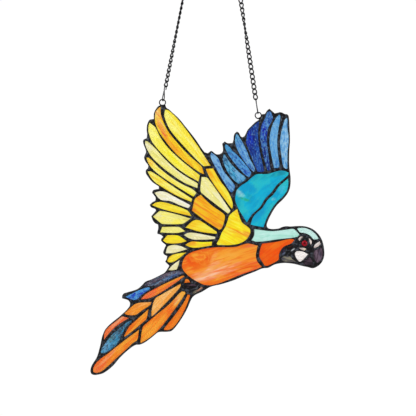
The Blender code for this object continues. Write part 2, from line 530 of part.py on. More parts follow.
def add_link(bm, middle, up, pitch, roll):
    """Adds one curb link, an oval of wire whose two ends are twisted against each other."""
    right = Vector((1.0, 0.0, 0.0))
    right = (right - up * right.dot(up)).normalized()
    behind = up.cross(right)
    half_length = (pitch + LINK_WIRE) / 2
    half_width = (LINK_WIDTH - LINK_WIRE) / 2
    path = []
    for step in range(LINK_STEPS):
        t = math.tau * step / LINK_STEPS
        angle = roll + LINK_TWIST * math.cos(t)
        sideways = right * math.cos(angle) + behind * math.sin(angle)
        offset = up * (half_length * math.cos(t)) + sideways * (half_width * math.sin(t))
        path.append(middle + offset * MM)
    radius = (LINK_WIRE / 2 + LINK_FLAT_GROWTH) * MM
    tube(bm, path, radius, LINK_SIDES, True, lambda index, point: middle - point)


def hanging_chain(name, chain, material):
    """A curb chain with an S-hook at each end, fused where the pieces touch."""
    up = Vector((chain["lean"], 0.0, 1.0)).normalized()
    ring_top = to_row(*chain["ring"]) + up * RING_RADIUS * MM
    hook_reach = HOOK_HEIGHT - HOOK_WIRE
    hook_drop = (RING_WIRE + HOOK_WIRE) / 2 + SLACK
    lower_crown = ring_top + up * (hook_reach - hook_drop) * MM
    upper_crown = lower_crown + up * ((-HOOK_WIRE / 2 * MM - lower_crown.z) / up.z)
    seat = (HOOK_WIRE + LINK_WIRE) / 2 - TOUCH
    chain_foot = lower_crown - up * seat * MM
    chain_top = upper_crown - up * (hook_reach - seat) * MM
    run = (chain_top - chain_foot).length / MM
    pitch = (run - LINK_WIRE) / chain["links"]
    evens = bmesh.new()
    odds = bmesh.new()
    for index in range(chain["links"]):
        centre = chain_foot + up * ((pitch + LINK_WIRE) / 2 + pitch * index) * MM
        share = index / (chain["links"] - 1)
        add_link(odds if index % 2 else evens, centre, up, pitch, roll_at(chain["rolls"], share))
    body = add_object(name, evens, material)
    unite(body, add_object(name + "_odd_links", odds, material))
    hooks = bmesh.new()
    for crown, turn in zip((lower_crown, upper_crown), chain["hook_turns"]):
        add_hook(hooks, crown, up, math.radians(turn))
    unite(body, add_object(name + "_hooks", hooks, material))
    body.data.shade_smooth()
    return body


def named_openings():
    """Every glass piece with its outline and colour, jewel excepted."""
    groups = (
        ("yellow_feather", YELLOW_FEATHERS, YELLOW_FEATHER_COLOURS),
        ("yellow_covert", YELLOW_COVERTS, YELLOW_COVERT_COLOURS),
        ("blue_feather", BLUE_FEATHERS, BLUE_FEATHER_COLOURS),
        ("cyan_covert", CYAN_COVERTS, CYAN_COVERT_COLOURS),
        ("tail_feather", TAIL_FEATHERS, TAIL_COLOURS),
    )
    pieces = []
    for stem, outlines, colours in groups:
        for number, (outline, colour) in enumerate(zip(outlines, colours), start=1):
            pieces.append((f"{stem}_{number:02d}", bowed_loop(outline), colour))
    for (name, outline), colour in zip(BODY_AND_HEAD.items(), BODY_AND_HEAD_COLOURS):
        pieces.append((name, bowed_loop(outline), colour))
    return pieces


def main():
    """Builds the panel and its two chains."""
    clear_scene()
    metal = metal_material()
    pieces = named_openings()
    solder_lattice([opening for _, opening, _ in pieces] + [jewel_opening()], metal)
    for name, opening, colour in pieces:
        glass_piece(name, opening, colour)
    eye_jewel()
    for name, chain in CHAINS.items():
        hanging_chain(name, chain, metal)


if __name__ == "__main__":
    main()
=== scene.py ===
"""Looks of a stained glass macaw panel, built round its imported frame.

Lengths are millimetres in the maker's classes and metres in the meshes. X runs to the right,
Y away from the viewer and Z up, from the hanging point between the two upper S-hooks.
"""
import json
import logging
import math
from dataclasses import dataclass, field
from enum import Enum

import bmesh
import bpy
import numpy as np
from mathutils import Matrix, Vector, kdtree, noise
from mathutils.geometry import delaunay_2d_cdt


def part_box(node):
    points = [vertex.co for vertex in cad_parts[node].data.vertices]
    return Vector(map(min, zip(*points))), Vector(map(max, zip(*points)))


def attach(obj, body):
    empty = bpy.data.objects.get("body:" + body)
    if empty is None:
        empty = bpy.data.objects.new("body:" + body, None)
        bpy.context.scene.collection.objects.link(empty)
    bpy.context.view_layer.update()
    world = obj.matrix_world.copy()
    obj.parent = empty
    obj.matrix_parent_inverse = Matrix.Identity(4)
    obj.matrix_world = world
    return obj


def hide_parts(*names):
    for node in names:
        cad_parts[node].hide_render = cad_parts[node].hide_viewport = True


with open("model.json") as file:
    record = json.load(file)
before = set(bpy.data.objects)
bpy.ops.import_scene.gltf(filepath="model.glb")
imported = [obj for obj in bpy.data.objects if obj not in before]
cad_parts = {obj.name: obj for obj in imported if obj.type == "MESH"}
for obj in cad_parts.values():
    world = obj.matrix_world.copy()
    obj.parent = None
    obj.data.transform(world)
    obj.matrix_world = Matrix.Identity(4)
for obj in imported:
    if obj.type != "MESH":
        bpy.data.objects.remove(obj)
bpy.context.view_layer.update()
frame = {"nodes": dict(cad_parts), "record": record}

LOG = logging.getLogger("stained_glass_panel")
MM = 0.001
# Points closer than this, in millimetres, are one point.
WELD = 0.0005
BODY = "root"

# The photograph shows the panel square on, at PIXEL millimetres to a pixel. Its upper left
# corner is at PHOTO_ORIGIN, in X and Z, and it has PHOTO_SIZE pixels along each side.
PIXEL = 1.35
PHOTO_ORIGIN = (-286.4, -22.95)
PHOTO_SIZE = 416

# One unit of a patch of colour is this many millimetres through the panel: it shows on both faces.
THROUGH = 4000.0

# Noise lies round this value.
MIDDLE = 0.5

# Two faces that turn by more degrees than this meet in an edge that is shaded sharp.
CREASE = 80.0

Pair = tuple[float, float]
Faces = list[tuple[int, ...]]
Shape = tuple[np.ndarray, Faces]
Socket = bpy.types.NodeSocket


class Surface(Enum):
    """How the face of a sheet of glass is finished."""

    ROLLED = "rolled"
    HAMMERED = "hammered"


class Face(Enum):
    """Which side of the panel a vertex belongs to; the value is its sign along Y."""

    FRONT = -1
    BACK = 1


# Palette of the glass sheets.
LEMON = "#F8EC4E"
PALE_LEMON = "#FBF488"
CANARY = "#FAEE1C"
BUTTER = "#EFE888"
IVORY = "#F1EECE"
STRAW = "#E9E2AC"
OLIVE = "#DCD678"
OCHRE = "#D8BE50"
GOLD = "#F8E032"
DEEP_GOLD = "#F5C824"
AMBER = "#F7B810"
HONEY = "#F4A012"
TANGERINE = "#F49A2C"
ORANGE = "#F08620"
DEEP_ORANGE = "#EE6E10"
SCARLET = "#F05800"
VERMILION = "#EA4C08"
PUMPKIN = "#F47A0C"
CORAL = "#EC6E40"
RUST = "#D8640C"
FLAME = "#F06A1A"
EMBER = "#F05E30"
MARIGOLD = "#F5A632"
YOLK = "#F6B444"
BLUSH = "#F5AC72"
SALMON = "#F4A272"
APRICOT = "#F6AC58"
PEACH = "#F8C8A0"
SHELL_PINK = "#FBD8BE"
WHEAT = "#F5C277"
SKY = "#7CBAE6"
CORNFLOWER = "#5694D4"
AZURE = "#4C98D8"
CERULEAN = "#56A8E4"
ICE_BLUE = "#4CBCE4"
LAPIS = "#1C58B4"
BLUE = "#3874BC"
STEEL = "#30628C"
ROYAL = "#1C4498"
NAVY = "#0C1E7C"
COBALT = "#0A20C0"
PALE_SKY = "#A4D2F0"
MIST = "#8CBACC"
TEAL = "#3A98C4"
GLACIER = "#30A0CC"
CYAN = "#08B4D6"
TURQUOISE = "#26C0CA"
PALE_TURQUOISE = "#8CE6DC"
LAGOON_GREEN = "#18A8BC"
VERDIGRIS = "#24B090"
DEEP_TEAL = "#2C4C60"
PETROL = "#0C88A2"
LAGOON = "#089CCC"
SEA_GREEN = "#90DAC4"
MINT = "#BAECE0"
PALE_MINT = "#CDF0EA"
SLATE = "#545C74"
DUSK = "#37354A"
PLUM = "#4E3C4A"
MAUVE = "#6E5C6C"
AUBERGINE = "#2E242E"
SMOKE = "#5E5A54"
STONE = "#8A8470"
CHALK = "#F3EEEC"
SILVER = "#B4BAC0"
SHELL = "#D4C8C2"
BONE = "#EADCD4"
ROSE_GREY = "#BCABA7"
RUBY = "#9A0218"
GARNET = "#54020E"
BROWN_ROSE = "#957468"
BLACK_GLASS = "#0A070B"
VIOLET_BLACK = "#241C30"
UMBER = "#3A1E16"


def linear(colour: str) -> tuple[float, float, float, float]:
    """Turns a hex colour as seen on a screen into linear light, by the usual sRGB curve.

    Args:
        colour: the colour as "#RRGGBB".

    Returns:
        Red, green, blue and an alpha of 1.
    """
    parts = [int(colour[i:i + 2], 16) / 255 for i in (1, 3, 5)]
    light = [c / 12.92 if c <= 0.04045 else ((c + 0.055) / 1.055) ** 2.4 for c in parts]
    return (light[0], light[1], light[2], 1.0)


def from_photo(across: float, down: float) -> Pair:
    """Turns a pixel of the photograph into X and Z in millimetres."""
    return (PHOTO_ORIGIN[0] + PIXEL * across, PHOTO_ORIGIN[1] - PIXEL * down)


def mesh_of(name: str, vertices: np.ndarray, faces: Faces,
            crease: float = CREASE) -> bpy.types.Mesh:
    """Makes a mesh from millimetre points and outward faces.

    Args:
        name: the mesh's name.
        vertices: one row of x, y, z for each point, in millimetres.
        faces: the corners of each face.
        crease: how many degrees two faces turn before their edge is shaded sharp.

    Returns:
        The mesh, in metres, with its faces turned outwards.
    """
    mesh = bpy.data.meshes.new(name)
    mesh.from_pydata((np.asarray(vertices) * MM).tolist(), [], faces)
    bm = bmesh.new()
    bm.from_mesh(mesh)
    bmesh.ops.remove_doubles(bm, verts=bm.verts, dist=WELD * MM)
    bmesh.ops.recalc_face_normals(bm, faces=bm.faces)
    bm.to_mesh(mesh)
    bm.free()
    mesh.shade_smooth()
    mesh.set_sharp_from_angle(angle=math.radians(crease))
    return mesh


def add_object(name: str, data: bpy.types.ID) -> bpy.types.Object:
    """Adds an object to the scene.

    Args:
        name: its name.
        data: its mesh, lamp or camera.

    Returns:
        The object.
    """
    thing = bpy.data.objects.new(name, data)
    bpy.context.scene.collection.objects.link(thing)
    return thing


def add_piece(name: str, shape: Shape, material: bpy.types.Material, slot: str, *nodes: str,
              crease: float = CREASE) -> bpy.types.Object:
    """Adds a finished piece to the scene and ties it to the frame.

    Args:
        name: the piece's own name.
        shape: its points, in millimetres, and its faces.
        material: its finish.
        slot: the record's slot that the finish belongs to; it is not used.
        nodes: the frame's nodes that the piece stands for.
        crease: how many degrees two faces turn before their edge is shaded sharp.

    Returns:
        The new object.
    """
    mesh = mesh_of(name, *shape, crease)
    piece = add_object(name, mesh)
    mesh.materials.append(material)
    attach(piece, BODY)
    if nodes:
        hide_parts(*nodes)
    LOG.info("%s: %d triangles", name, sum(len(p.vertices) - 2 for p in mesh.polygons))
    return piece


@dataclass(frozen=True)
class Drawing:
    """Reads the cut lines of a node's flat front and draws them as smooth curves."""

    spacing: float = 1.1
    sharp: float = math.radians(52.0)
    fullness: float = 0.36
    steepest: float = 0.9
    flatness: float = 0.01

    def loops(self, node: str, half_depth: float) -> list[np.ndarray]:
        """Finds the closed outlines of a node's front face.

        Args:
            node: the frame's node.
            half_depth: how far its front face stands before the middle plane.

        Returns:
            One array of x, z rows for each outline, anticlockwise, in millimetres.
        """
        mesh = frame["nodes"][node].data
        points = np.empty(len(mesh.vertices) * 3)
        mesh.vertices.foreach_get("co", points)
        points = np.round(points.reshape(-1, 3) / MM, 3)
        unique, index = np.unique(points, axis=0, return_inverse=True)
        index = index.reshape(-1)
        mesh.calc_loop_triangles()
        corners = np.empty(len(mesh.loop_triangles) * 3, int)
        mesh.loop_triangles.foreach_get("vertices", corners)
        triangles = index[corners].reshape(-1, 3)
        front = (np.abs(unique[triangles][:, :, 1] + half_depth) < self.flatness).all(axis=1)
        edges = set()
        for a, b, c in triangles[front].tolist():
            edges.update(((a, b), (b, c), (c, a)))
        following = {a: b for a, b in edges if (b, a) not in edges}
        loops = []
        while following:
            start, here = following.popitem()
            loop = [start]
            while here != start:
                loop.append(here)
                here = following.pop(here)
            outline = unique[loop][:, (0, 2)]
            loops.append(outline if signed_area(outline) > 0 else outline[::-1])
        return loops

    def curve(self, loop: np.ndarray) -> np.ndarray:
        """Draws a smooth, evenly stepped curve through an outline, keeping its corners.

        Args:
            loop: x, z rows of the straight-sided outline.

        Returns:
            x, z rows of the curve.
        """
        count = len(loop)
        chords = np.roll(loop, -1, axis=0) - loop
        lengths = np.linalg.norm(chords, axis=1)
        heading = chords / lengths[:, None]
        drawn = []
        for i in range(count):
            j = (i + 1) % count
            steps = max(1, round(lengths[i] / self.spacing))
            leave = self.tangent(heading, lengths, i, i)
            arrive = self.tangent(heading, lengths, j, i)
            for k in range(steps):
                t = k / steps
                drawn.append((2 * t ** 3 - 3 * t ** 2 + 1) * loop[i]
                             + (t ** 3 - 2 * t ** 2 + t) * lengths[i] * leave
                             + (3 * t ** 2 - 2 * t ** 3) * loop[j]
                             + (t ** 3 - t ** 2) * lengths[i] * arrive)
        return np.array(drawn)

    def tangent(self, heading: np.ndarray, lengths: np.ndarray, corner: int,
                chord: int) -> np.ndarray:
        """Gives the curve's direction where a chord meets a corner.

        Args:
            heading: unit direction of each chord.
            lengths: length of each chord.
            corner: the outline's corner.
            chord: the chord that the curve follows there.

        Returns:
            A unit direction, close enough to the chord that the curve hardly leaves it.
        """
        before = heading[corner - 1]
        after = heading[corner]
        along = heading[chord]
        turn = math.atan2(before[0] * after[1] - before[1] * after[0], before @ after)
        if abs(turn) > self.sharp:
            return along
        blend = before * lengths[corner] + after * lengths[corner - 1]
        blend /= np.linalg.norm(blend)
        across = np.array((-along[1], along[0]))
        # A lean at one end takes the curve off its chord by 4/27 of the lean times the length.
        most = min(self.steepest, self.fullness * 27 / 4 / lengths[chord])
        aside = max(-most, min(most, float(blend @ across)))
        return along * math.sqrt(1 - aside * aside) + across * aside


def signed_area(loop: np.ndarray) -> float:
    """Gives the area inside a closed outline, positive when it runs anticlockwise."""
    ahead = np.roll(loop, -1, axis=0)
    return float((loop[:, 0] * ahead[:, 1] - ahead[:, 0] * loop[:, 1]).sum() / 2)


def left_normals(loop: np.ndarray) -> np.ndarray:
    """Gives the directions square to a closed curve.

    Args:
        loop: x, z rows of the curve.

    Returns:
        The unit direction to the left of the curve at each row.
    """
    along = np.roll(loop, -1, axis=0) - np.roll(loop, 1, axis=0)
    along /= np.maximum(np.linalg.norm(along, axis=1), 1e-9)[:, None]
    return np.stack((-along[:, 1], along[:, 0]), axis=1)


def nearness(points: np.ndarray) -> kdtree.KDTree:
    """Makes a search tree.

    Args:
        points: x, z rows.

    Returns:
        The tree, which holds each row as a point at y 0.
    """
    tree = kdtree.KDTree(len(points))
    for index, (x, z) in enumerate(points.tolist()):
        tree.insert((x, 0.0, z), index)
    tree.balance()
    return tree


def distances(points: np.ndarray, tree: kdtree.KDTree) -> np.ndarray:
    """Gives each x, z row's distance to the nearest point of a search tree."""
    return np.array([tree.find((x, 0.0, z))[2] for x, z in points.tolist()])


def dense(loop: np.ndarray, step: float = 0.12) -> np.ndarray:
    """Steps finely along a closed curve.

    Args:
        loop: x, z rows of the curve.
        step: the longest gap between two points.

    Returns:
        x, z rows of the points.
    """
    ahead = np.roll(loop, -1, axis=0)
    rows = []
    for a, b in zip(loop, ahead):
        parts = max(1, math.ceil(np.linalg.norm(b - a) / step))
        rows.append(a + (b - a) * (np.arange(parts) / parts)[:, None])
    return np.concatenate(rows)


class Spread:
    """Collects points that keep a least distance from each other."""

    def __init__(self, gap: float) -> None:
        """Starts an empty collection.

        Args:
            gap: the least distance between its points.
        """
        self.gap = gap
        self.cells: dict[tuple[int, int], list[Pair]] = {}
        self.points: list[Pair] = []

    def offer(self, x: float, z: float) -> None:
        """Keeps a point unless an earlier one is too close.

        Args:
            x: its place to the right.
            z: its height.
        """
        column, row = int(x // self.gap), int(z // self.gap)
        for i in (column - 1, column, column + 1):
            for j in (row - 1, row, row + 1):
                for u, v in self.cells.get((i, j), ()):
                    if (u - x) ** 2 + (v - z) ** 2 < self.gap ** 2:
                        return
        self.cells.setdefault((column, row), []).append((x, z))
        self.points.append((x, z))


# A triangulation keeps only what lies inside its outlines, and joins points closer than this.
INSIDE_ONLY = 1
TOUCHING = 1e-5


def triangulate(loops: list[np.ndarray], inner: list[Pair]) -> Shape:
    """Fills the region inside the first loop and outside the others with triangles.

    Args:
        loops: anticlockwise outlines.
        inner: extra points inside the region.

    Returns:
        The x, z rows and the triangles between them.
    """
    corners = [tuple(p) for loop in loops for p in loop.tolist()]
    faces = []
    start = 0
    for loop in loops:
        faces.append(list(range(start, start + len(loop))))
        start += len(loop)
    points = [Vector(p) for p in corners + inner]
    places, _, filled, _, _, sources = delaunay_2d_cdt(points, [], faces, INSIDE_ONLY, TOUCHING,
                                                       True)
    triangles = [tuple(t) for t, source in zip(filled, sources) if source == [0]]
    used = sorted({v for t in triangles for v in t})
    order = {v: i for i, v in enumerate(used)}
    rows = np.array([places[v][:] for v in used])
    return rows, [tuple(order[v] for v in t) for t in triangles]


def two_faced(rows: np.ndarray, triangles: Faces, front: np.ndarray, back: np.ndarray) -> Shape:
    """Closes a flat triangulation into a solid between two height fields.

    Args:
        rows: x, z rows.
        triangles: the triangles between them.
        front: how far each point of the front stands before the middle plane.
        back: how far each point of the back stands behind it.

    Returns:
        x, y, z rows and faces of the closed solid.
    """
    count = len(rows)
    vertices = np.concatenate((np.stack((rows[:, 0], -front, rows[:, 1]), axis=1),
                               np.stack((rows[:, 0], back, rows[:, 1]), axis=1)))
    edges = set()
    for a, b, c in triangles:
        edges.update(((a, b), (b, c), (c, a)))
    faces = list(triangles)
    faces += [(c + count, b + count, a + count) for a, b, c in triangles]
    faces += [(b, a, a + count, b + count) for a, b in edges if (b, a) not in edges]
    return vertices, faces


def feed(node: bpy.types.Node, inputs: dict[str | int, object], output: int = 0) -> Socket:
    """Feeds a node's inputs and gives one of its outputs.

    Args:
        node: the node, with its kind already set.
        inputs: for each input an output to join to it, a hex colour, a plain value or None.
        output: the number of the output that is wanted.

    Returns:
        The output.
    """
    for key, value in inputs.items():
        if isinstance(value, Socket):
            node.id_data.links.new(value, node.inputs[key])
        elif isinstance(value, str):
            node.inputs[key].default_value = linear(value)
        elif value is not None:
            node.inputs[key].default_value = value
    return node.outputs[output]


class Sketch:
    """Lays out the nodes of one material."""

    def __init__(self, name: str) -> None:
        """Starts a material with only its shader and the object's own coordinates.

        Args:
            name: the material's name.
        """
        self.material = bpy.data.materials.new(name)
        self.material.use_nodes = True
        self.nodes = self.material.node_tree.nodes
        self.place = self.nodes.new("ShaderNodeTexCoord").outputs["Object"]

    def shade(self, **inputs: object) -> None:
        """Feeds the shader's inputs; an underscore in a name stands for a space."""
        feed(self.nodes["Principled BSDF"],
             {key.replace("_", " "): value for key, value in inputs.items()})

    def mapped(self, at: Pair, size: Pair,
               turn: float, depth: float = 40.0) -> Socket:
        """Gives coordinates that are stretched along a direction in the panel's plane.

        Args:
            at: X and Z of their origin, in millimetres.
            size: how many millimetres make one unit, along and across the direction.
            turn: the direction, in degrees from X towards Z.
            depth: how many millimetres make one unit through the panel.

        Returns:
            The mapped coordinates.
        """
        node = self.nodes.new("ShaderNodeMapping")
        node.vector_type = "TEXTURE"
        return feed(node, {"Vector": self.place, "Location": (at[0] * MM, 0.0, at[1] * MM),
                           "Rotation": (0.0, -math.radians(turn), 0.0),
                           "Scale": (size[0] * MM, depth * MM, size[1] * MM)})

    def even(self, size: float, at: Pair = (0.0, 0.0)) -> Socket:
        """Gives coordinates whose unit is the same size, in millimetres, in all directions."""
        return self.mapped(at, (size, size), 0.0, size)

    def noise(self, vector: Socket, scale: float = 1.0, detail: float = 3.0,
              roughness: float = 0.55, distortion: float = 0.0) -> Socket:
        """Adds a noise texture.

        Args:
            vector: its coordinates.
            scale: how fine it is.
            detail: how many octaves it has.
            roughness: how strong the fine octaves are.
            distortion: how far it is stirred.

        Returns:
            A value round one half.
        """
        return feed(self.nodes.new("ShaderNodeTexNoise"),
                    {"Vector": vector, "Scale": scale, "Detail": detail,
                     "Roughness": roughness, "Distortion": distortion})

    def cells(self, vector: Socket) -> Socket:
        """Adds rounded cells.

        Args:
            vector: their coordinates; a cell is about one unit wide.

        Returns:
            The distance to the nearest cell's middle.
        """
        node = self.nodes.new("ShaderNodeTexVoronoi")
        node.feature = "SMOOTH_F1"
        return feed(node, {"Vector": vector, "Scale": 1.0})

    def ranged(self, value: Socket, low: float, high: float, start: float = 0.0,
               end: float = 1.0) -> Socket:
        """Maps a value softly from one range to another.

        Args:
            value: the value.
            low: where the range starts.
            high: where the range ends.
            start: the result at its start.
            end: the result at its end.

        Returns:
            The mapped value.
        """
        node = self.nodes.new("ShaderNodeMapRange")
        node.interpolation_type = "SMOOTHSTEP"
        return feed(node, {"Value": value, "From Min": low, "From Max": high,
                           "To Min": start, "To Max": end})

    def maths(self, operation: str, first: Socket, second: Socket | float) -> Socket:
        """Adds a sum of two values.

        Args:
            operation: Blender's name of the sum.
            first: one value.
            second: the other value, or a number.

        Returns:
            The result.
        """
        node = self.nodes.new("ShaderNodeMath")
        node.operation = operation
        return feed(node, {0: first, 1: second})

    def depth(self) -> Socket:
        """Measures how far a place is from the middle plane.

        Returns:
            The distance along Y, in metres.
        """
        along_y = self.nodes.new("ShaderNodeVectorMath")
        along_y.operation = "MULTIPLY"
        return self.length(feed(along_y, {0: self.place, 1: (0.0, 1.0, 0.0)}))

    def length(self, vector: Socket) -> Socket:
        """Measures a vector.

        Args:
            vector: the vector.

        Returns:
            Its length.
        """
        node = self.nodes.new("ShaderNodeVectorMath")
        node.operation = "LENGTH"
        return feed(node, {0: vector}, output=1)

    def mix(self, share: Socket | float, first: Socket | str, second: Socket | str) -> Socket:
        """Mixes two colours.

        Args:
            share: how much of the second.
            first: a hex colour or an output.
            second: a hex colour or an output.

        Returns:
            The mixed colour.
        """
        node = self.nodes.new("ShaderNodeMix")
        node.data_type = "RGBA"
        return feed(node, {0: share, 6: first, 7: second}, output=2)

    def blend(self, share: Socket, first: Socket, second: Socket) -> Socket:
        """Blends two values."""
        return feed(self.nodes.new("ShaderNodeMix"), {0: share, 2: first, 3: second})

    def laid(self, colour: Socket | str, other: Socket | str, value: Socket, low: float,
             high: float, strength: float) -> Socket:
        """Lays more of another colour over a colour as a value goes from low to high."""
        return self.mix(self.ranged(value, low, high, 0.0, strength), colour, other)

    def veined(self, colour: Socket | str, deep: str, pale: str, value: Socket, edge: float,
               strength: float) -> Socket:
        """Lays a deep colour where a value is low, and a pale one where it is high."""
        colour = self.laid(colour, deep, value, MIDDLE, MIDDLE - edge, strength)
        return self.laid(colour, pale, value, MIDDLE, MIDDLE + edge, strength)

    def bump(self, height: Socket, depth: float, before: Socket | None = None) -> Socket:
        """Adds relief, so many millimetres deep, on top of the normal of coarser relief."""
        return feed(self.nodes.new("ShaderNodeBump"),
                    {"Distance": depth * MM, "Height": height, "Normal": before})


@dataclass(frozen=True)
class Spot:
    """An oval place in the panel.

    Its middle is read off the photograph in pixels, its half length and half width are
    millimetres, and its turn is in degrees from X towards Z.
    """

    across: float
    down: float
    reach: float
    width: float
    turn: float

    def mapped(self, sketch: Sketch) -> Socket:
        """Gives coordinates whose length is 0 in the middle of the place and 1 at its rim."""
        return sketch.mapped(from_photo(self.across, self.down), (self.reach, self.width),
                             self.turn, THROUGH)


@dataclass(frozen=True)
class Tint(Spot):
    """A soft patch of another colour inside one piece of glass; on the solder it is a painted
    highlight.
    """

    colour: str
    strength: float = 0.8
    fray: float = 0.8
    fade: Pair = (1.55, 0.7)

    def over(self, sketch: Sketch, colour: Socket | str) -> Socket:
        """Lays the patch, with a broken edge, over a colour.

        Args:
            sketch: the material being laid out.
            colour: the colour so far.

        Returns:
            The colour with the patch.
        """
        spot = self.mapped(sketch)
        stir = sketch.noise(spot, scale=2.4, roughness=0.6, distortion=0.4)
        edge = sketch.maths("ADD", sketch.length(spot), sketch.maths("MULTIPLY", stir, self.fray))
        return sketch.laid(colour, self.colour, edge, *self.fade, self.strength)


@dataclass(frozen=True)
class Whirl(Spot):
    """A place where the streaks of a piece of glass curl round a middle."""

    bands: float = 2.1
    wobble: float = 1.5
    fade: Pair = (1.1, 0.6)

    def curl(self, sketch: Sketch, streak: Socket) -> Socket:
        """Bends the streaks round the middle.

        Args:
            sketch: the material being laid out.
            streak: the straight streaks.

        Returns:
            The streaks, turned into rings near the middle.
        """
        spot = self.mapped(sketch)
        stir = sketch.maths("MULTIPLY", sketch.noise(spot, scale=1.3, roughness=0.6), self.wobble)
        radius = sketch.length(spot)
        ring = sketch.noise(sketch.maths("ADD", radius, stir), self.bands, 2.0, roughness=0.6)
        return sketch.blend(sketch.ranged(radius, *self.fade), streak, ring)


@dataclass(frozen=True)
class Sheet:
    """A kind of art glass: how its surface, streaks and clearness look."""

    surface: Surface = Surface.ROLLED
    streak_length: float = 48.0
    streak_width: float = 3.0
    streaks: float = 0.8
    cloud_length: float = 26.0
    cloud_width: float = 10.0
    clouds: float = 0.5
    clearness: float = 0.35
    roughness: float = 0.14
    gloss: float = 0.3
    lap: float = 0.0
    wave: Pair = (22.0, 7.0)
    wave_depth: float = 0.3
    dimple: float = 2.1
    dimple_depth: float = 0.35
    haze: float = 1.7
    cloud_edge: float = 0.2
    streak_edge: float = 0.12
    speck: Pair = (6.5, 2.6)
    speck_strengths: Pair = (0.65, 0.85)
    glint: Pair = (3.6, 2.0)
    glint_range: Pair = (0.54, 0.68)
    glint_strength: float = 0.75

    def dress(self, name: str, colours: tuple[str, str, str], grain: float,
              middle: Pair, tints: tuple[Tint, ...],
              whirl: Whirl | None) -> bpy.types.Material:
        """Makes the finish of one piece cut from this sheet.

        Args:
            name: the piece's name.
            colours: the deep, main and pale colours.
            grain: direction of the streaks, in degrees from X towards Z.
            middle: X and Z of the piece's middle, in millimetres.
            tints: its patches of other colours.
            whirl: the place where its streaks curl, if it has one.

        Returns:
            The material.
        """
        sketch = Sketch(f"glass_of_{name}")
        along = sketch.mapped(middle, (self.streak_length, self.streak_width), grain)
        streak = sketch.noise(along, distortion=0.3)
        if whirl is not None:
            streak = whirl.curl(sketch, streak)
        wide = sketch.mapped(middle, (self.cloud_length, self.cloud_width), grain)
        cloud = sketch.noise(wide, detail=2.0, roughness=0.5, distortion=0.8)
        deep, main, pale = colours
        colour = sketch.veined(main, deep, pale, cloud, self.cloud_edge, self.clouds)
        for tint in tints:
            colour = tint.over(sketch, colour)
        colour = sketch.veined(colour, deep, pale, streak, self.streak_edge, self.streaks)
        if self.surface is Surface.HAMMERED:
            colour = self.sparkle(sketch, colour, pale, deep, grain)
        sketch.shade(Base_Color=colour, Transmission_Weight=self.clearness,
                     Specular_IOR_Level=self.gloss, Normal=self.relief(sketch, grain),
                     Roughness=sketch.ranged(cloud, MIDDLE - self.cloud_edge,
                                             MIDDLE + self.cloud_edge, self.roughness,
                                             self.roughness * self.haze))
        return sketch.material

    def sparkle(self, sketch: Sketch, colour: Socket, pale: str, deep: str,
                grain: float) -> Socket:
        """Lays painted sparkle over a colour: pale and deep specks and bright glints that stand in
        for light refracted by the dimples of a hammered sheet.

        Args:
            sketch: the material being laid out.
            colour: the colour so far.
            pale: the sheet's pale colour.
            deep: the sheet's deep colour.
            grain: direction of the sheet, in degrees.

        Returns:
            The speckled colour.
        """
        specks = sketch.noise(sketch.mapped((0.0, 0.0), self.speck, grain), detail=2.0,
                              roughness=0.6)
        glints = sketch.noise(sketch.mapped((5.0, 9.0), self.glint, grain), detail=1.0)
        light, dark = self.speck_strengths
        colour = sketch.laid(colour, pale, specks, MIDDLE, MIDDLE + self.streak_edge, light)
        colour = sketch.laid(colour, deep, specks, MIDDLE, MIDDLE - self.streak_edge, dark)
        # Painted highlights: bright glints where the dimples catch the light.
        return sketch.laid(colour, sketch.mix(0.5, pale, MIST), glints, *self.glint_range,
                           self.glint_strength)

    def relief(self, sketch: Sketch, grain: float) -> Socket:
        """Lays out the sheet's surface: soft rolled waves, and dimples where it is hammered.

        Args:
            sketch: the material being laid out.
            grain: direction of the sheet, in degrees.

        Returns:
            The normal.
        """
        wave = sketch.noise(sketch.mapped((0.0, 0.0), self.wave, grain), detail=2.0)
        normal = sketch.bump(wave, self.wave_depth)
        if self.surface is Surface.HAMMERED:
            size = (self.dimple, self.dimple)
            dimples = sketch.cells(sketch.mapped((0.0, 0.0), size, grain, self.dimple))
            normal = sketch.bump(dimples, self.dimple_depth, normal)
        return normal


STREAKY = Sheet(clouds=0.7, lap=0.2)
CREAMY = Sheet(streaks=0.6, streak_width=4.0, clouds=0.7, clearness=0.25, roughness=0.2, lap=0.28)
SWIRLED = Sheet(streak_length=40.0, streak_width=3.6, streaks=0.62,
                cloud_length=34.0, cloud_width=12.0, clouds=0.8, lap=0.1)
WATERY = Sheet(streak_length=30.0, streak_width=9.0, streaks=0.6,
               cloud_length=20.0, cloud_width=12.0, clouds=0.9)
OPAL = Sheet(streak_length=30.0, streak_width=7.0, streaks=0.5,
             cloud_length=20.0, cloud_width=12.0, clouds=0.4, lap=0.1)
GRANITE = Sheet(Surface.HAMMERED, streak_length=24.0, streak_width=4.5, streaks=0.7,
                cloud_length=14.0, cloud_width=7.0, clouds=0.8, clearness=0.5)
SMOKY = Sheet(streak_length=14.0, streak_width=3.0, streaks=0.8,
              cloud_length=10.0, cloud_width=5.0, clearness=0.2, lap=0.1)


@dataclass(frozen=True)
class Cut:
    """One piece of glass: which sheet it is cut from, its colours, tints and grain."""

    node: str
    sheet: Sheet
    deep: str
    main: str
    pale: str
    tints: tuple[Tint, ...] = ()
    grain: float | None = None
    whirl: Whirl | None = None


@dataclass(frozen=True)
class Inlay(Spot):
    """A small oval piece of glass in a broad field of solder."""

    name: str
    cut: Cut
    sides: int = 28
    squareness: float = 0.8

    def outline(self) -> np.ndarray:
        """Draws its outline.

        Returns:
            x, z rows, anticlockwise.
        """
        angles = np.arange(self.sides) * math.tau / self.sides
        cosine, sine = np.cos(angles), np.sin(angles)
        along = self.reach * np.sign(cosine) * np.abs(cosine) ** self.squareness
        aside = self.width * np.sign(sine) * np.abs(sine) ** self.squareness
        turn = math.radians(self.turn)
        x, z = from_photo(self.across, self.down)
        return np.stack((x + along * math.cos(turn) - aside * math.sin(turn),
                         z + along * math.sin(turn) + aside * math.cos(turn)), axis=1)


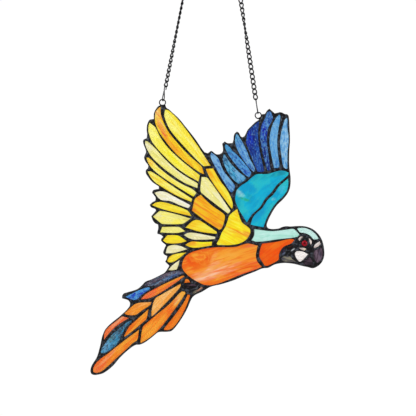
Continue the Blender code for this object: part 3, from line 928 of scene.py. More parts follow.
# The pieces of glass, left wing first. A later tint of a piece lies over its earlier ones.
CUTS = (
    Cut("yellow_feather_01", STREAKY, GOLD, LEMON, PALE_LEMON,
        (Tint(207, 162, 13, 7, -52, DEEP_GOLD, 0.85), Tint(193, 142, 26, 4, -54, GOLD, 0.85),
         Tint(197, 151, 14, 5, -54, GOLD, 1.0), Tint(174, 126, 18, 6, -50, PALE_LEMON))),
    Cut("yellow_feather_02", STREAKY, HONEY, DEEP_GOLD, GOLD,
        (Tint(158, 112, 16, 7, -80, BLUSH, 0.7), Tint(156.5, 113, 10, 4, -80, WHEAT, 1.0),
         Tint(156.5, 114, 9, 3, -80, STRAW, 0.5), Tint(158.5, 121, 11, 3, -75, APRICOT),
         Tint(162.5, 126, 12, 2.2, -62, WHEAT, 1.0), Tint(162.5, 131.5, 15, 3, -54, CORAL, 1.0),
         Tint(172, 146, 18, 3, -48, TANGERINE, 0.9), Tint(166, 128, 10, 1.6, -60, GOLD, 0.7),
         Tint(185, 160, 14, 2.4, -46, HONEY, 0.6), Tint(199, 169, 13, 6, -32, GOLD))),
    Cut("yellow_feather_03", STREAKY, LEMON, LEMON, PALE_LEMON,
        (Tint(174, 158, 30, 6, -46, CANARY), Tint(187, 169, 14, 5, -44, GOLD, 0.7),
         Tint(153, 132, 17, 8, -62, PALE_LEMON, 1.0), Tint(196, 177, 10, 6, -40, DEEP_GOLD, 0.6))),
    Cut("yellow_feather_04", CREAMY, OLIVE, BUTTER, IVORY,
        (Tint(148, 147, 11, 7, -60, STRAW, 0.9), Tint(160, 163, 22, 3, -42, LEMON, 0.5),
         Tint(181, 177, 12, 5, -40, BUTTER))),
    Cut("yellow_feather_05", STREAKY, GOLD, PALE_LEMON, PALE_LEMON,
        (Tint(149, 161, 12, 7, -45, AMBER, 0.75), Tint(190, 194, 20, 6, -36, CANARY),
         Tint(168, 178, 26, 3, -40, GOLD, 0.6))),
    Cut("yellow_feather_06", STREAKY, DEEP_GOLD, LEMON, PALE_LEMON,
        (Tint(152, 175, 10, 5, -45, PALE_LEMON, 0.5), Tint(172, 189, 18, 4, -38, PALE_LEMON, 0.7),
         Tint(188, 200, 12, 5, -30, GOLD, 0.5))),
    Cut("yellow_feather_07", CREAMY, STRAW, IVORY, CHALK),
    Cut("yellow_feather_08", STREAKY, DEEP_GOLD, GOLD, LEMON,
        (Tint(160, 206, 12, 4, -10, LEMON, 0.5), Tint(186, 214, 10, 5, -20, AMBER, 0.6))),
    # Its olive and ochre patches at the right end are painted shade under the solder.
    Cut("yellow_feather_09", CREAMY, LEMON, BUTTER, BUTTER,
        (Tint(177, 222, 9, 5, 20, LEMON, 0.6), Tint(158, 216, 9, 5, 0, STRAW, 0.7),
         Tint(180, 217, 13, 3.6, -8, OLIVE, 1.0), Tint(186, 219, 6, 3, -8, OCHRE))),
    Cut("yellow_feather_10", CREAMY, LEMON, BUTTER, BUTTER,
        (Tint(165, 228, 12, 4, 0, OLIVE, 0.5),)),
    Cut("yellow_feather_11", STREAKY, DEEP_GOLD, GOLD, CANARY),
    Cut("yellow_feather_12", CREAMY, STRAW, STRAW, IVORY, (Tint(167, 251, 8, 3, -30, IVORY),)),
    Cut("yellow_feather_13", STREAKY, AMBER, GOLD, LEMON),
    Cut("yellow_feather_14", CREAMY, STRAW, STRAW, IVORY),
    Cut("yellow_covert_01", STREAKY, ORANGE, AMBER, DEEP_GOLD,
        (Tint(194, 203, 13, 9, 60, TANGERINE, 1.0), Tint(194, 209, 8, 4, 60, ORANGE),
         Tint(206, 211, 24, 2.4, -32, ORANGE), Tint(200, 204, 20, 1.8, -32, GOLD, 0.7),
         Tint(211, 221, 16, 2.2, -32, TANGERINE, 0.5), Tint(215, 210, 18, 3, -32, DEEP_GOLD, 0.7),
         Tint(221, 224, 10, 8, 60, DEEP_GOLD)), -32.0),
    Cut("yellow_covert_02", CREAMY, BUTTER, BUTTER, IVORY,
        (Tint(206, 184, 10, 6, -55, STRAW, 0.5), Tint(209, 196, 18, 5, -52, STRAW, 0.5),
         Tint(217, 198, 8, 4, -52, OLIVE, 0.6))),
    Cut("yellow_covert_03", STREAKY, AMBER, GOLD, LEMON,
        (Tint(209, 174, 11, 6, -60, HONEY, 0.9), Tint(217, 190, 18, 3, -58, DEEP_GOLD, 0.7))),
    Cut("yellow_covert_04", STREAKY, DEEP_GOLD, GOLD, LEMON,
        (Tint(192, 225, 9, 6, 0, AMBER, 0.5), Tint(206, 228, 14, 5, -20, LEMON, 0.6))),
    Cut("yellow_covert_05", CREAMY, STRAW, STRAW, IVORY,
        (Tint(206, 238, 9, 4, -5, STRAW, 0.9), Tint(189, 235.5, 6, 4, 0, OLIVE, 0.5))),
    Cut("yellow_covert_06", STREAKY, AMBER, GOLD, CANARY,
        (Tint(192, 243, 9, 5, 0, TANGERINE, 0.9), Tint(208, 243, 8, 4, 0, DEEP_GOLD, 0.6))),
    Cut("yellow_covert_07", STREAKY, DEEP_GOLD, CANARY, LEMON,
        (Tint(226, 239, 16, 8, 0, CANARY), Tint(238, 232, 24, 3.4, -23, HONEY, 1.0),
         Tint(229, 229, 14, 3.6, -24, AMBER, 1.0), Tint(243, 234, 16, 1.2, -24, ORANGE, 0.9),
         Tint(248, 234.5, 10, 5, -27, TANGERINE, 0.9), Tint(240, 237.5, 12, 1.8, -25, AMBER, 0.7),
         Tint(236, 212, 9, 4, -70, AMBER, 0.7), Tint(246, 226, 12, 3, -30, DEEP_GOLD, 0.7)), -27.0),
    Cut("blue_feather_01", GRANITE, BLUE, CORNFLOWER, SKY,
        (Tint(235, 193, 10, 6, -65, ROYAL, 0.9), Tint(216, 162, 18, 7, -60, PALE_SKY, 0.6),
         Tint(225, 178, 16, 6, -60, SKY, 1.0))),
    Cut("blue_feather_02", GRANITE, STEEL, GLACIER, SKY,
        (Tint(224, 159, 9, 7, -50, STEEL, 0.9), Tint(231, 172, 14, 7, -50, LAGOON),
         Tint(241, 181, 8, 6, -40, CERULEAN, 0.7), Tint(230, 169, 13, 5, -50, ICE_BLUE, 0.6))),
    Cut("blue_feather_03", GRANITE, ROYAL, AZURE, CERULEAN,
        (Tint(227, 148, 12, 6, -55, TEAL, 0.9), Tint(248, 173, 9, 6, -45, COBALT, 0.7))),
    Cut("blue_feather_04", GRANITE, BLUE, CORNFLOWER, SKY,
        (Tint(237, 136, 12, 6, -75, TEAL, 0.9), Tint(240, 149, 10, 4, -70, AZURE, 0.5),
         Tint(253, 169, 10, 6, -55, ROYAL, 0.9))),
    Cut("blue_feather_05", GRANITE, NAVY, ROYAL, LAPIS,
        (Tint(251, 135, 26, 9, -80, NAVY), Tint(249, 138, 16, 7, -80, COBALT, 1.0),
         Tint(257, 124, 10, 4, -60, LAPIS, 0.6), Tint(259, 163, 14, 7, -70, BLUE, 0.7))),
    Cut("blue_feather_06", GRANITE, NAVY, LAPIS, CORNFLOWER,
        (Tint(264, 130, 14, 5, -80, COBALT, 1.0), Tint(267, 157, 22, 7, -80, NAVY, 0.9),
         Tint(270, 112, 12, 7, -80, CORNFLOWER))),
    Cut("blue_feather_07", GRANITE, AZURE, CERULEAN, SKY,
        (Tint(274, 138, 34, 8, -85, SKY, 0.7), Tint(276, 154, 10, 5, 90, AZURE, 0.7),
         Tint(277, 163, 11, 5, 90, BLUE, 1.0))),
    Cut("blue_feather_08", GRANITE, AZURE, SKY, PALE_SKY,
        (Tint(285, 163, 10, 6, 90, AZURE, 0.6), Tint(287, 138, 14, 5, 90, PALE_SKY),
         Tint(284, 128, 12, 5, 90, CERULEAN, 0.9))),
    Cut("cyan_covert_01", WATERY, LAGOON, CYAN, TURQUOISE,
        (Tint(251, 189, 20, 8, -25, LAGOON, 0.7), Tint(262, 176, 20, 7, 14, LAGOON_GREEN, 0.9),
         Tint(284, 173, 9, 5, 10, TURQUOISE, 0.9), Tint(279, 173.5, 14, 4.6, 14, PETROL, 0.85),
         Tint(236, 205, 8, 12, -60, LAGOON_GREEN, 0.9), Tint(241, 213, 10, 5, -60, TURQUOISE, 0.6),
         Tint(239.5, 193.5, 10.5, 5, -46, PALE_TURQUOISE, 1.0),
         Tint(239, 192, 7, 2.2, -44, PALE_MINT, 0.7),
         Tint(244.5, 199.2, 12, 2.6, -18, VERDIGRIS, 1.0),
         Tint(250, 196.5, 7, 3.5, -30, PETROL, 0.45), Tint(262, 192, 18, 7, 40, CYAN, 0.9),
         Tint(256, 203, 14, 4, 55, LAGOON, 0.6))),
    Cut("cyan_covert_02", WATERY, LAGOON, CYAN, TURQUOISE,
        (Tint(284, 181, 18, 9, 60, TURQUOISE, 0.9),
         Tint(273.5, 199, 4, 2.4, 20, PALE_TURQUOISE, 0.45),
         Tint(282, 189, 8, 5, 60, ICE_BLUE, 0.5), Tint(259, 213, 15, 9, 40, LAGOON, 0.9),
         Tint(268, 207, 10, 4, 50, TURQUOISE, 0.5))),
    Cut("body", SWIRLED, FLAME, ORANGE, MARIGOLD,
        (Tint(234, 257, 36, 17, 4, MARIGOLD, 0.9), Tint(232, 254, 14, 7, 20, YOLK, 0.6),
         Tint(193, 258, 24, 20, 0, DEEP_ORANGE, 0.95), Tint(190, 260, 22, 17, 0, SCARLET, 0.55),
         Tint(199, 258, 9, 5, 12, TANGERINE, 0.9), Tint(208, 260, 8, 3.4, 75, FLAME, 0.9),
         Tint(214, 257, 11, 4, 60, APRICOT, 0.7), Tint(212, 249, 34, 3.2, 8, FLAME, 0.9),
         Tint(214, 265, 14, 5, 32, BLUSH), Tint(186, 256, 10, 4, 80, FLAME),
         Tint(188, 270, 14, 5, -40, TANGERINE), Tint(216, 271, 36, 9, 20, SALMON, 0.85),
         Tint(205, 277, 22, 6, 16, BLUSH, 1.0), Tint(232, 266, 22, 3, 22, BLUSH),
         Tint(227, 265, 14, 3, 22, MARIGOLD, 0.9), Tint(220, 258, 9, 4, 20, YOLK),
         Tint(209, 270, 11, 3, 28, PEACH, 0.6), Tint(210, 278.5, 12, 2.4, 14, PEACH, 0.5),
         Tint(234, 251, 9, 3, 14, ORANGE, 0.7), Tint(200, 279, 14, 2.2, 12, SHELL_PINK, 0.5),
         Tint(211, 275, 18, 1.8, 20, SHELL_PINK, 0.6), Tint(221, 268, 16, 1.6, 24, SHELL_PINK, 0.4),
         Tint(231, 271, 14, 1.6, 18, PEACH, 0.5), Tint(250, 258, 16, 12, 0, TANGERINE, 0.7),
         Tint(243, 272, 34, 3.6, 19, EMBER, 1.0), Tint(229, 272, 20, 1.1, 18, EMBER, 0.5),
         Tint(252, 263, 18, 3, 12, EMBER, 0.9), Tint(219, 283, 34, 4.5, 17, ORANGE, 1.0),
         Tint(252, 246, 14, 3.4, 10, CORAL), Tint(195, 255, 7, 3, 10, MARIGOLD, 0.9),
         Tint(226, 273, 10, 2.4, 18, BLUSH), Tint(196, 275, 9, 4, 16, BLUSH, 0.7),
         Tint(184, 266, 9, 5, -62, SCARLET, 0.6), Tint(247, 268, 22, 3.4, 17, VERMILION, 0.7),
         Tint(231, 272.8, 16, 1.6, 18, VERMILION, 0.6), Tint(205, 249, 22, 2.4, 10, VERMILION, 0.5),
         Tint(206.5, 259, 7, 3, 80, VERMILION, 0.5),
         Tint(190, 261, 9, 4, -30, VERMILION, 0.5)), 15.0, Whirl(200, 258, 20, 15, 8)),
    Cut("neck", OPAL, SEA_GREEN, MINT, PALE_MINT,
        (Tint(225, 240, 14, 8, 0, SEA_GREEN, 0.3), Tint(263, 237, 9, 6, 0, PALE_MINT))),
    Cut("crown", OPAL, MINT, PALE_MINT, PALE_MINT),
    Cut("cheek_red", SWIRLED, VERMILION, SCARLET, DEEP_ORANGE,
        (Tint(272, 246, 16, 5, 12, PUMPKIN), Tint(264, 258, 10, 6, 60, DEEP_ORANGE, 0.6))),
    Cut("eye_patch_above", CREAMY, SMOKE, ROSE_GREY, SHELL,
        (Tint(299, 240, 4, 3, 60, SHELL), Tint(303, 237, 4, 2.4, 10, SMOKE, 0.5))),
    Cut("eye_patch_front", CREAMY, ROSE_GREY, BONE, BONE),
    Cut("eye_patch_below", CREAMY, ROSE_GREY, ROSE_GREY, SHELL,
        (Tint(305, 249, 3, 2, 0, STRAW, 0.6),)),
    Cut("cheek_white", CREAMY, SHELL, CHALK, CHALK),
    Cut("cere", CREAMY, ROSE_GREY, SHELL, CHALK, (Tint(315, 247, 4, 3, 20, ROSE_GREY, 0.7),)),
    Cut("beak_upper", SMOKY, AUBERGINE, PLUM, MAUVE,
        (Tint(320, 255, 10, 2.4, -80, DUSK, 0.6), Tint(316, 253, 10, 2, -85, MAUVE, 0.9),
         Tint(323, 258, 9, 2.2, -80, PLUM))),
    Cut("beak_lower", SMOKY, BLACK_GLASS, AUBERGINE, PLUM),
    # Its thin stone streak is a painted highlight across the throat.
    Cut("throat", SMOKY, DUSK, SMOKE, STONE,
        (Tint(288, 258, 7, 2, -15, STONE, 0.7), Tint(281, 255, 4, 3, 40, DUSK, 0.6))),
    Cut("tail_feather_01", GRANITE, DUSK, SLATE, MAUVE,
        (Tint(155, 283, 24, 8, 22, DUSK), Tint(173, 277, 15, 4, 20, BLUE, 0.9),
         Tint(163, 280, 22, 1.6, 24, SKY, 0.5))),
    Cut("tail_feather_02", GRANITE, COBALT, BLUE, CERULEAN,
        (Tint(140, 290, 10, 5, 25, AZURE), Tint(128, 297, 8, 4, 10, AZURE, 0.6))),
    Cut("tail_feather_03", STREAKY, EMBER, ORANGE, TANGERINE,
        (Tint(148, 296, 22, 8, 30, CORAL, 0.9), Tint(172, 284, 20, 3, 32, CORAL, 0.6))),
    Cut("tail_feather_04", STREAKY, RUST, RUST, ORANGE, (Tint(184, 281, 6, 4, 30, ORANGE, 0.5),)),
    Cut("tail_feather_05", STREAKY, MARIGOLD, APRICOT, WHEAT,
        (Tint(160, 294, 18, 7, 55, WHEAT, 0.9), Tint(151, 316, 8, 5, 60, TANGERINE, 0.7),
         Tint(155, 306, 10, 4, 55, WHEAT, 0.9), Tint(177, 286, 12, 5, 45, MARIGOLD),
         Tint(166, 300, 16, 2.4, 55, TANGERINE, 0.6))),
    Cut("tail_feather_06", STREAKY, ORANGE, TANGERINE, APRICOT,
        (Tint(127, 314, 10, 6, 30, ORANGE, 0.9), Tint(146, 302, 10, 5, 20, APRICOT),
         Tint(138, 306, 9, 4, 25, ORANGE, 0.7))),
    Cut("tail_feather_07", STREAKY, FLAME, CORAL, SALMON, (Tint(113, 334, 18, 5, 50, FLAME, 0.6),)),
    Cut("tail_feather_08", GRANITE, DEEP_TEAL, STEEL, TEAL,
        (Tint(105, 347, 14, 6, 50, SKY, 0.75), Tint(111, 339, 9, 3, 60, SEA_GREEN, 0.3),
         Tint(117, 333, 12, 4, 55, SMOKE, 0.6), Tint(125, 323, 14, 6, 50, DUSK, 0.75),
         Tint(116, 338, 9, 4, 55, DEEP_TEAL, 0.9))),
    Cut("tail_feather_09", STREAKY, DEEP_ORANGE, ORANGE, MARIGOLD,
        (Tint(145, 313, 14, 6, 50, MARIGOLD), Tint(130, 330, 14, 6, 50, DEEP_ORANGE, 0.9))),
    Cut("tail_feather_10", STREAKY, FLAME, ORANGE, MARIGOLD,
        (Tint(98, 367, 20, 10, 45, CORAL, 0.9), Tint(108, 357, 20, 2.4, 45, SALMON),
         Tint(128, 341, 18, 3, 45, DEEP_ORANGE, 0.6), Tint(121, 350, 9, 4, 45, MARIGOLD, 0.7),
         Tint(132, 336, 18, 4, 45, TANGERINE))),
    Cut("tail_feather_11", STREAKY, DEEP_ORANGE, ORANGE, MARIGOLD,
        (Tint(181, 296, 20, 6, 58, YOLK, 1.0), Tint(168, 311.5, 12, 7, 50, FLAME, 1.0),
         Tint(150, 330, 24, 8, 45, MARIGOLD, 0.9), Tint(160, 336, 24, 4, 50, DEEP_ORANGE, 0.9),
         Tint(177, 300, 9, 3.4, 55, WHEAT, 0.9), Tint(164, 317, 10, 5, 48, TANGERINE),
         Tint(156, 326, 11, 4, 45, PUMPKIN, 0.6))),
    Cut("tail_feather_12", STREAKY, DEEP_ORANGE, DEEP_ORANGE, ORANGE,
        (Tint(186, 300, 16, 5, 65, ORANGE, 0.9), Tint(176, 318, 12, 5, 50, ORANGE, 0.6))),
    Cut("tail_feather_13", CREAMY, SMOKE, BROWN_ROSE, SALMON),
)

# Small black pieces that the frame keeps as solder: in the mask behind the beak and in the foot.
INLAYS = (
    Inlay(290.2, 247.4, 4.6, 1.7, 26, "black_mask_upper",
          Cut("solder_lattice", SMOKY, BLACK_GLASS, BLACK_GLASS, UMBER)),
    Inlay(283.4, 250.6, 3.4, 2.0, 62, "black_mask_lower",
          Cut("solder_lattice", SMOKY, BLACK_GLASS, VIOLET_BLACK, DUSK)),
    Inlay(190.4, 285.9, 8.4, 2.9, -2, "black_foot",
          Cut("solder_lattice", SMOKY, BLACK_GLASS, BLACK_GLASS, PLUM)),
)

# Painted highlights on the black solder: light patches laid into its colour where its beads catch
# the light.
PAINTED_SOLDER_HIGHLIGHTS = (
    Tint(292.8, 249.6, 3.8, 1.0, 32, SILVER, 0.9), Tint(283.5, 253.6, 3.4, 1.6, 30, SLATE),
    Tint(195.5, 291.5, 5.5, 2.2, 30, STONE, 0.45), Tint(289.0, 243.6, 5.0, 1.2, 22, SLATE, 0.6),
)


@dataclass(frozen=True)
class Patina:
    """The finish of a blackened metal, with painted sheen and highlights in its colour."""

    name: str
    dark: str = "#0B0A0D"
    rubbed_and_sheen: str = "#474C56"
    painted_highlights: tuple[Tint, ...] = ()
    grain: float = 3.6
    fine_grain: float = 0.9
    wear_and_sheen: float = 0.85
    metallic: float = 0.35
    gloss: float = 0.25
    roughness: Pair = (0.28, 0.5)
    relief: float = 0.22
    crown: float = 2.5
    crown_share: float = 0.93
    crown_highlight: float = 0.35
    worn_and_sheen_range: Pair = (0.44, 0.68)
    worn_and_sheen_shares: Pair = (-0.4, 0.65)

    def dress(self) -> bpy.types.Material:
        """Makes the material.

        Returns:
            A dark metal with greyer worn places that partly stand in for painted sheen, a painted
            highlight along the bead crowns and at given places, and a hand-worked surface.
        """
        sketch = Sketch(self.name)
        broad = sketch.noise(sketch.even(self.grain), detail=4.0, roughness=0.6)
        fine = sketch.noise(sketch.even(self.fine_grain, (3.0, 7.0)))
        top = self.crown * MM
        # Painted highlight: the crowns of the beads are greyer, as if they catch the light.
        crown_highlights = sketch.ranged(sketch.depth(), top * self.crown_share, top, 0.0, self.crown_highlight)
        # Greyer places from broad noise, partly wear and partly painted sheen.
        worn_and_sheen_spots = sketch.ranged(broad, *self.worn_and_sheen_range, *self.worn_and_sheen_shares)
        share = sketch.maths("MULTIPLY", sketch.maths("ADD", worn_and_sheen_spots, crown_highlights), self.wear_and_sheen)
        share.node.use_clamp = True
        colour = sketch.mix(share, self.dark, self.rubbed_and_sheen)
        # Painted highlights, laid over the solder's colour at the given places.
        for highlight in self.painted_highlights:
            colour = highlight.over(sketch, colour)
        normal = sketch.bump(fine, self.relief / 4, sketch.bump(broad, self.relief))
        sketch.shade(Base_Color=colour, Metallic=self.metallic, Specular_IOR_Level=self.gloss,
                     Roughness=sketch.ranged(fine, 0.3, 0.7, *self.roughness), Normal=normal)
        return sketch.material


@dataclass
class SolderLattice:
    """All the soldered lines as one piece of metal, domed like hand-run beads."""

    node: str = "solder_lattice"
    crown: float = 2.5
    seat: float = 1.42
    bead: float = 1.4
    edge: float = 1.9
    steps: tuple[float, ...] = (0.25, 0.65, 1.1, 1.6)
    least_gap: float = 0.62
    freedom: float = 0.9
    pitch: float = 1.3
    looseness: float = 0.8
    margin: float = 0.6
    lump: float = 0.09
    lump_waves: tuple[tuple[float, float, float], ...] = ((6.5, 9.0, 1.0), (2.1, 5.0, 0.5))
    joint: float = 0.16
    joint_start: float = 1.5
    joint_run: float = 1.2
    silhouette: np.ndarray = field(default=None)
    openings: list[np.ndarray] = field(default_factory=list)
    homes: dict[str, int] = field(default_factory=dict)

    def trace(self, drawing: Drawing) -> None:
        """Reads the outlines off the frame, and laps the solder over the glass.

        Args:
            drawing: how the outlines are read and drawn.
        """
        loops = [drawing.curve(loop) for loop in drawing.loops(self.node, self.crown)]
        loops.sort(key=lambda loop: -abs(signed_area(loop)))
        self.silhouette = loops.pop(0)
        middles = np.array([(loop.min(axis=0) + loop.max(axis=0)) / 2 for loop in loops])
        for cut in CUTS:
            low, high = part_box(cut.node)
            middle = np.array(((low.x + high.x) / 2, (low.z + high.z) / 2)) / MM
            home = int(np.linalg.norm(middles - middle, axis=1).argmin())
            loops[home] = loops[home] + left_normals(loops[home]) * cut.sheet.lap
            self.homes[cut.node] = home
        self.openings = loops + [inlay.outline() for inlay in INLAYS]
        LOG.info("lattice: %d openings", len(self.openings))

    def build(self, material: bpy.types.Material) -> bpy.types.Object:
        """Makes the lattice.

        Args:
            material: its patina.

        Returns:
            The piece.
        """
        outer = nearness(dense(self.silhouette))
        inner = nearness(np.concatenate([dense(loop) for loop in self.openings]))
        rows, triangles = triangulate([self.silhouette] + self.openings,
                                      self.filling(outer, inner))
        to_edge = distances(rows, outer)
        to_glass = distances(rows, inner)
        faces = [self.height(rows, to_edge, to_glass, face) for face in Face]
        return add_piece("solder_lines", two_faced(rows, triangles, *faces), material,
                         "black_solder", self.node)

    def filling(self, outer: kdtree.KDTree, inner: kdtree.KDTree) -> list[Pair]:
        """Spreads points over the solder in rows that follow its edges.

        Args:
            outer: search tree of the silhouette.
            inner: search tree of the openings.

        Returns:
            x, z of each point.
        """
        spread = Spread(self.least_gap)
        sides = [(self.silhouette, 1.0)] + [(loop, -1.0) for loop in self.openings]
        for step in self.steps:
            for loop, side in sides:
                rows = loop + left_normals(loop) * (step * side)
                room = np.minimum(distances(rows, outer), distances(rows, inner))
                for (x, z), free in zip(rows.tolist(), room):
                    if free > self.freedom * step:
                        spread.offer(x, z)
        low, high = self.silhouette.min(axis=0), self.silhouette.max(axis=0)
        grid = np.array([(x, z) for x in np.arange(low[0], high[0], self.pitch)
                         for z in np.arange(low[1], high[1], self.pitch)])
        room = np.minimum(distances(grid, outer), distances(grid, inner))
        wide = Spread(self.pitch * self.looseness)
        for x, z in grid[room > self.steps[-1] + self.margin].tolist():
            wide.offer(x, z)
        return spread.points + wide.points

    def height(self, rows: np.ndarray, to_edge: np.ndarray, to_glass: np.ndarray,
               face: Face) -> np.ndarray:
        """Gives how far the solder stands out from the middle plane.

        Args:
            rows: x, z rows.
            to_edge: distance of each to the silhouette.
            to_glass: distance of each to the nearest glass.
            face: the side of the panel.

        Returns:
            One height for each row.
        """
        bead = self.seat + (self.crown - self.seat) * rounded(to_glass / self.bead)
        rim = self.crown * rounded(to_edge / self.edge)
        height = np.minimum(bead, rim)
        inside = np.minimum(to_glass, to_edge)
        calm = np.clip(inside / self.bead, 0.0, 1.0)
        swell = np.clip((inside - self.joint_start) / self.joint_run, 0.0, 1.0)
        lumps = sum(share * waves(rows, size, face.value * layer)
                    for size, layer, share in self.lump_waves)
        return height + calm * lumps * self.lump + swell * self.joint


def waves(rows: np.ndarray, size: float, layer: float) -> np.ndarray:
    """Gives the height, round 0, of smooth waves of a size at each x, z row of a layer."""
    return np.array([noise.noise(Vector((x / size, layer, z / size))) for x, z in rows.tolist()])


def rounded(share: np.ndarray) -> np.ndarray:
    """Gives the height of a quarter round from its foot at 0 to its crown at 1."""
    clipped = np.clip(share, 0.0, 1.0)
    return np.sqrt(1.0 - (1.0 - clipped) ** 2)


@dataclass
class GlassPane:
    """One flat piece of glass, bedded under the solder on all sides."""

    name: str
    cut: Cut
    opening: np.ndarray
    bedding: float = 0.28
    half_depth: float = 1.5
    pitch: float = 2.6
    row: float = 0.87
    clear: float = 0.5
    edge_step: float = 0.5
    ripple: float = 0.05
    ripple_size: float = 11.0
    ripple_layer: float = 7.0
    crease: float = 40.0

    def build(self) -> bpy.types.Object:
        """Makes the pane.

        Returns:
            The piece.
        """
        outline = self.opening - left_normals(self.opening) * self.bedding
        rows, triangles = triangulate([outline], self.filling())
        shape = two_faced(rows, triangles, *(self.relief(rows, face) for face in Face))
        cut = self.cut
        material = cut.sheet.dress(self.name, (cut.deep, cut.main, cut.pale), self.grain(),
                                   tuple(self.opening.mean(axis=0)), cut.tints, cut.whirl)
        slot = "glass_beak" if cut.node == "solder_lattice" else slot_of(cut.node)
        return add_piece(f"pane_{self.name}", shape, material, slot, cut.node,
                         crease=self.crease)

    def filling(self) -> list[Pair]:
        """Spreads points evenly inside the opening.

        Returns:
            x, z of each point.
        """
        low, high = self.opening.min(axis=0), self.opening.max(axis=0)
        edge = nearness(dense(self.opening, self.edge_step))
        points = []
        for row, z in enumerate(np.arange(low[1], high[1], self.pitch * self.row)):
            shift = self.pitch / 2 * (row % 2)
            for x in np.arange(low[0] + shift, high[0], self.pitch):
                if edge.find((x, 0.0, z))[2] > self.pitch * self.clear:
                    points.append((float(x), float(z)))
        return points

    def relief(self, rows: np.ndarray, face: Face) -> np.ndarray:
        """Gives how far each row of the wavy glass stands out from the middle plane."""
        layer = face.value * self.ripple_layer
        return self.half_depth + self.ripple * waves(rows, self.ripple_size, layer)

    def grain(self) -> float:
        """Finds the direction of the piece's streaks, along its longest way.

        Returns:
            The direction, in degrees from X towards Z.
        """
        if self.cut.grain is not None:
            return self.cut.grain
        spread = self.opening - self.opening.mean(axis=0)
        values, vectors = np.linalg.eigh(spread.T @ spread)
        along = vectors[:, int(values.argmax())]
        return math.degrees(math.atan2(along[1], along[0]))


def slot_of(node: str) -> str:
    """Gives the record's material slot of a node."""
    rows = frame["record"]["subparts"]
    return next(row["material_slot"] for row in rows if row["node"] == node)


@dataclass
class Glazing:
    """Every flat piece of glass, each set in the opening that its node fills."""

    lattice: SolderLattice
    cuts: tuple[Cut, ...] = CUTS

    def build(self) -> None:
        """Makes all the panes."""
        for cut in self.cuts:
            opening = self.lattice.openings[self.lattice.homes[cut.node]]
            GlassPane(cut.node, cut, opening).build()
        for inlay in INLAYS:
            GlassPane(inlay.name, inlay.cut, inlay.outline()).build()


@dataclass
class JewelEye:
    """The round red glass jewel that is the bird's eye."""

    node: str = "eye_jewel"
    radius: float = 3.95
    half_depth: float = 1.5
    dome: float = 1.55
    sides: int = 48
    rings: int = 12
    back_flat: float = 0.6
    bevel: float = 0.2
    girdle: float = 0.3
    foot: float = 0.1
    shoulder: float = 0.98
    swirl: float = 0.5
    rim: Pair = (0.5, 0.95)

    def build(self) -> bpy.types.Object:
        """Makes the jewel.

        Returns:
            The piece.
        """
        low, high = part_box(self.node)
        middle = np.array(((low.x + high.x) / 2, 0.0, (low.z + high.z) / 2)) / MM
        back, front = self.half_depth, -self.half_depth
        profile = [(0.0, back), (self.radius * self.back_flat, back),
                   (self.radius, back - self.bevel), (self.radius, front + self.girdle)]
        for ring in range(self.rings):
            angle = math.pi / 2 * ring / self.rings
            profile.append((self.radius * self.shoulder * math.cos(angle),
                            front + self.foot - (self.dome + self.foot) * math.sin(angle)))
        profile.append((0.0, front - self.dome))
        vertices, faces = turned(profile, self.sides)
        sketch = Sketch("ruby_glass")
        spot = sketch.mapped((float(middle[0]), float(middle[2])), (self.radius, self.radius),
                             0.0, THROUGH)
        stir = sketch.noise(spot, scale=1.6, detail=2.0, roughness=0.5, distortion=0.6)
        edge = sketch.maths("ADD", sketch.length(spot), sketch.maths("MULTIPLY", stir, self.swirl))
        sketch.shade(Base_Color=sketch.laid(GARNET, RUBY, edge, *self.rim, 1.0),
                     Transmission_Weight=0.1, Roughness=0.3, Specular_IOR_Level=0.1)
        return add_piece("ruby_jewel", (vertices + middle, faces), sketch.material,
                         slot_of(self.node), self.node)


def turned(profile: list[Pair], sides: int) -> Shape:
    """Turns a profile about the Y axis.

    Args:
        profile: radius and y of each point, from one end of the axis to the other.
        sides: how many sides the round has.

    Returns:
        x, y, z rows and faces.
    """
    rows, faces, rings = [], [], []
    for radius, y in profile:
        if radius == 0.0:
            rings.append([len(rows)] * sides)
            rows.append((0.0, y, 0.0))
            continue
        rings.append(list(range(len(rows), len(rows) + sides)))
        for k in range(sides):
            angle = math.tau * k / sides
            rows.append((radius * math.cos(angle), y, radius * math.sin(angle)))
    for here, there in zip(rings, rings[1:]):
        for k in range(sides):
            corners = (here[k], here[(k + 1) % sides], there[(k + 1) % sides], there[k])
            face = tuple(dict.fromkeys(corners))
            if len(face) > 2:
                faces.append(face)
    return np.array(rows), faces


@dataclass
class Wire:
    """A bent round wire, drawn as a smooth tube along a path."""

    radius: float
    sides: int = 10

    def tube(self, path: np.ndarray, closed: bool, toward: np.ndarray,
             radii: np.ndarray | None = None) -> Shape:
        """Draws the tube.

        Args:
            path: x, y, z rows of its centre line.
            closed: whether the ends join.
            toward: for each row, a direction that its first corner looks in.
            radii: the radius at each row, where it changes.

        Returns:
            x, y, z rows and faces.
        """
        count = len(path)
        if radii is None:
            radii = np.full(count, self.radius)
        if closed:
            along = np.roll(path, -1, axis=0) - np.roll(path, 1, axis=0)
        else:
            along = np.gradient(path, axis=0)
        along /= np.linalg.norm(along, axis=1)[:, None]
        side = toward - along * (along * toward).sum(axis=1)[:, None]
        side /= np.linalg.norm(side, axis=1)[:, None]
        across = np.cross(along, side)
        rows = []
        for k in range(self.sides):
            angle = math.tau * k / self.sides
            rows.append(path + radii[:, None] * (side * math.cos(angle) + across * math.sin(angle)))
        rows = np.stack(rows, axis=1).reshape(-1, 3)
        faces = []
        for i in range(count if closed else count - 1):
            j = (i + 1) % count
            for k in range(self.sides):
                m = (k + 1) % self.sides
                faces.append((i * self.sides + k, i * self.sides + m,
                              j * self.sides + m, j * self.sides + k))
        if not closed:
            faces.append(tuple(reversed(range(self.sides))))
            faces.append(tuple(range((count - 1) * self.sides, count * self.sides)))
        return rows, faces


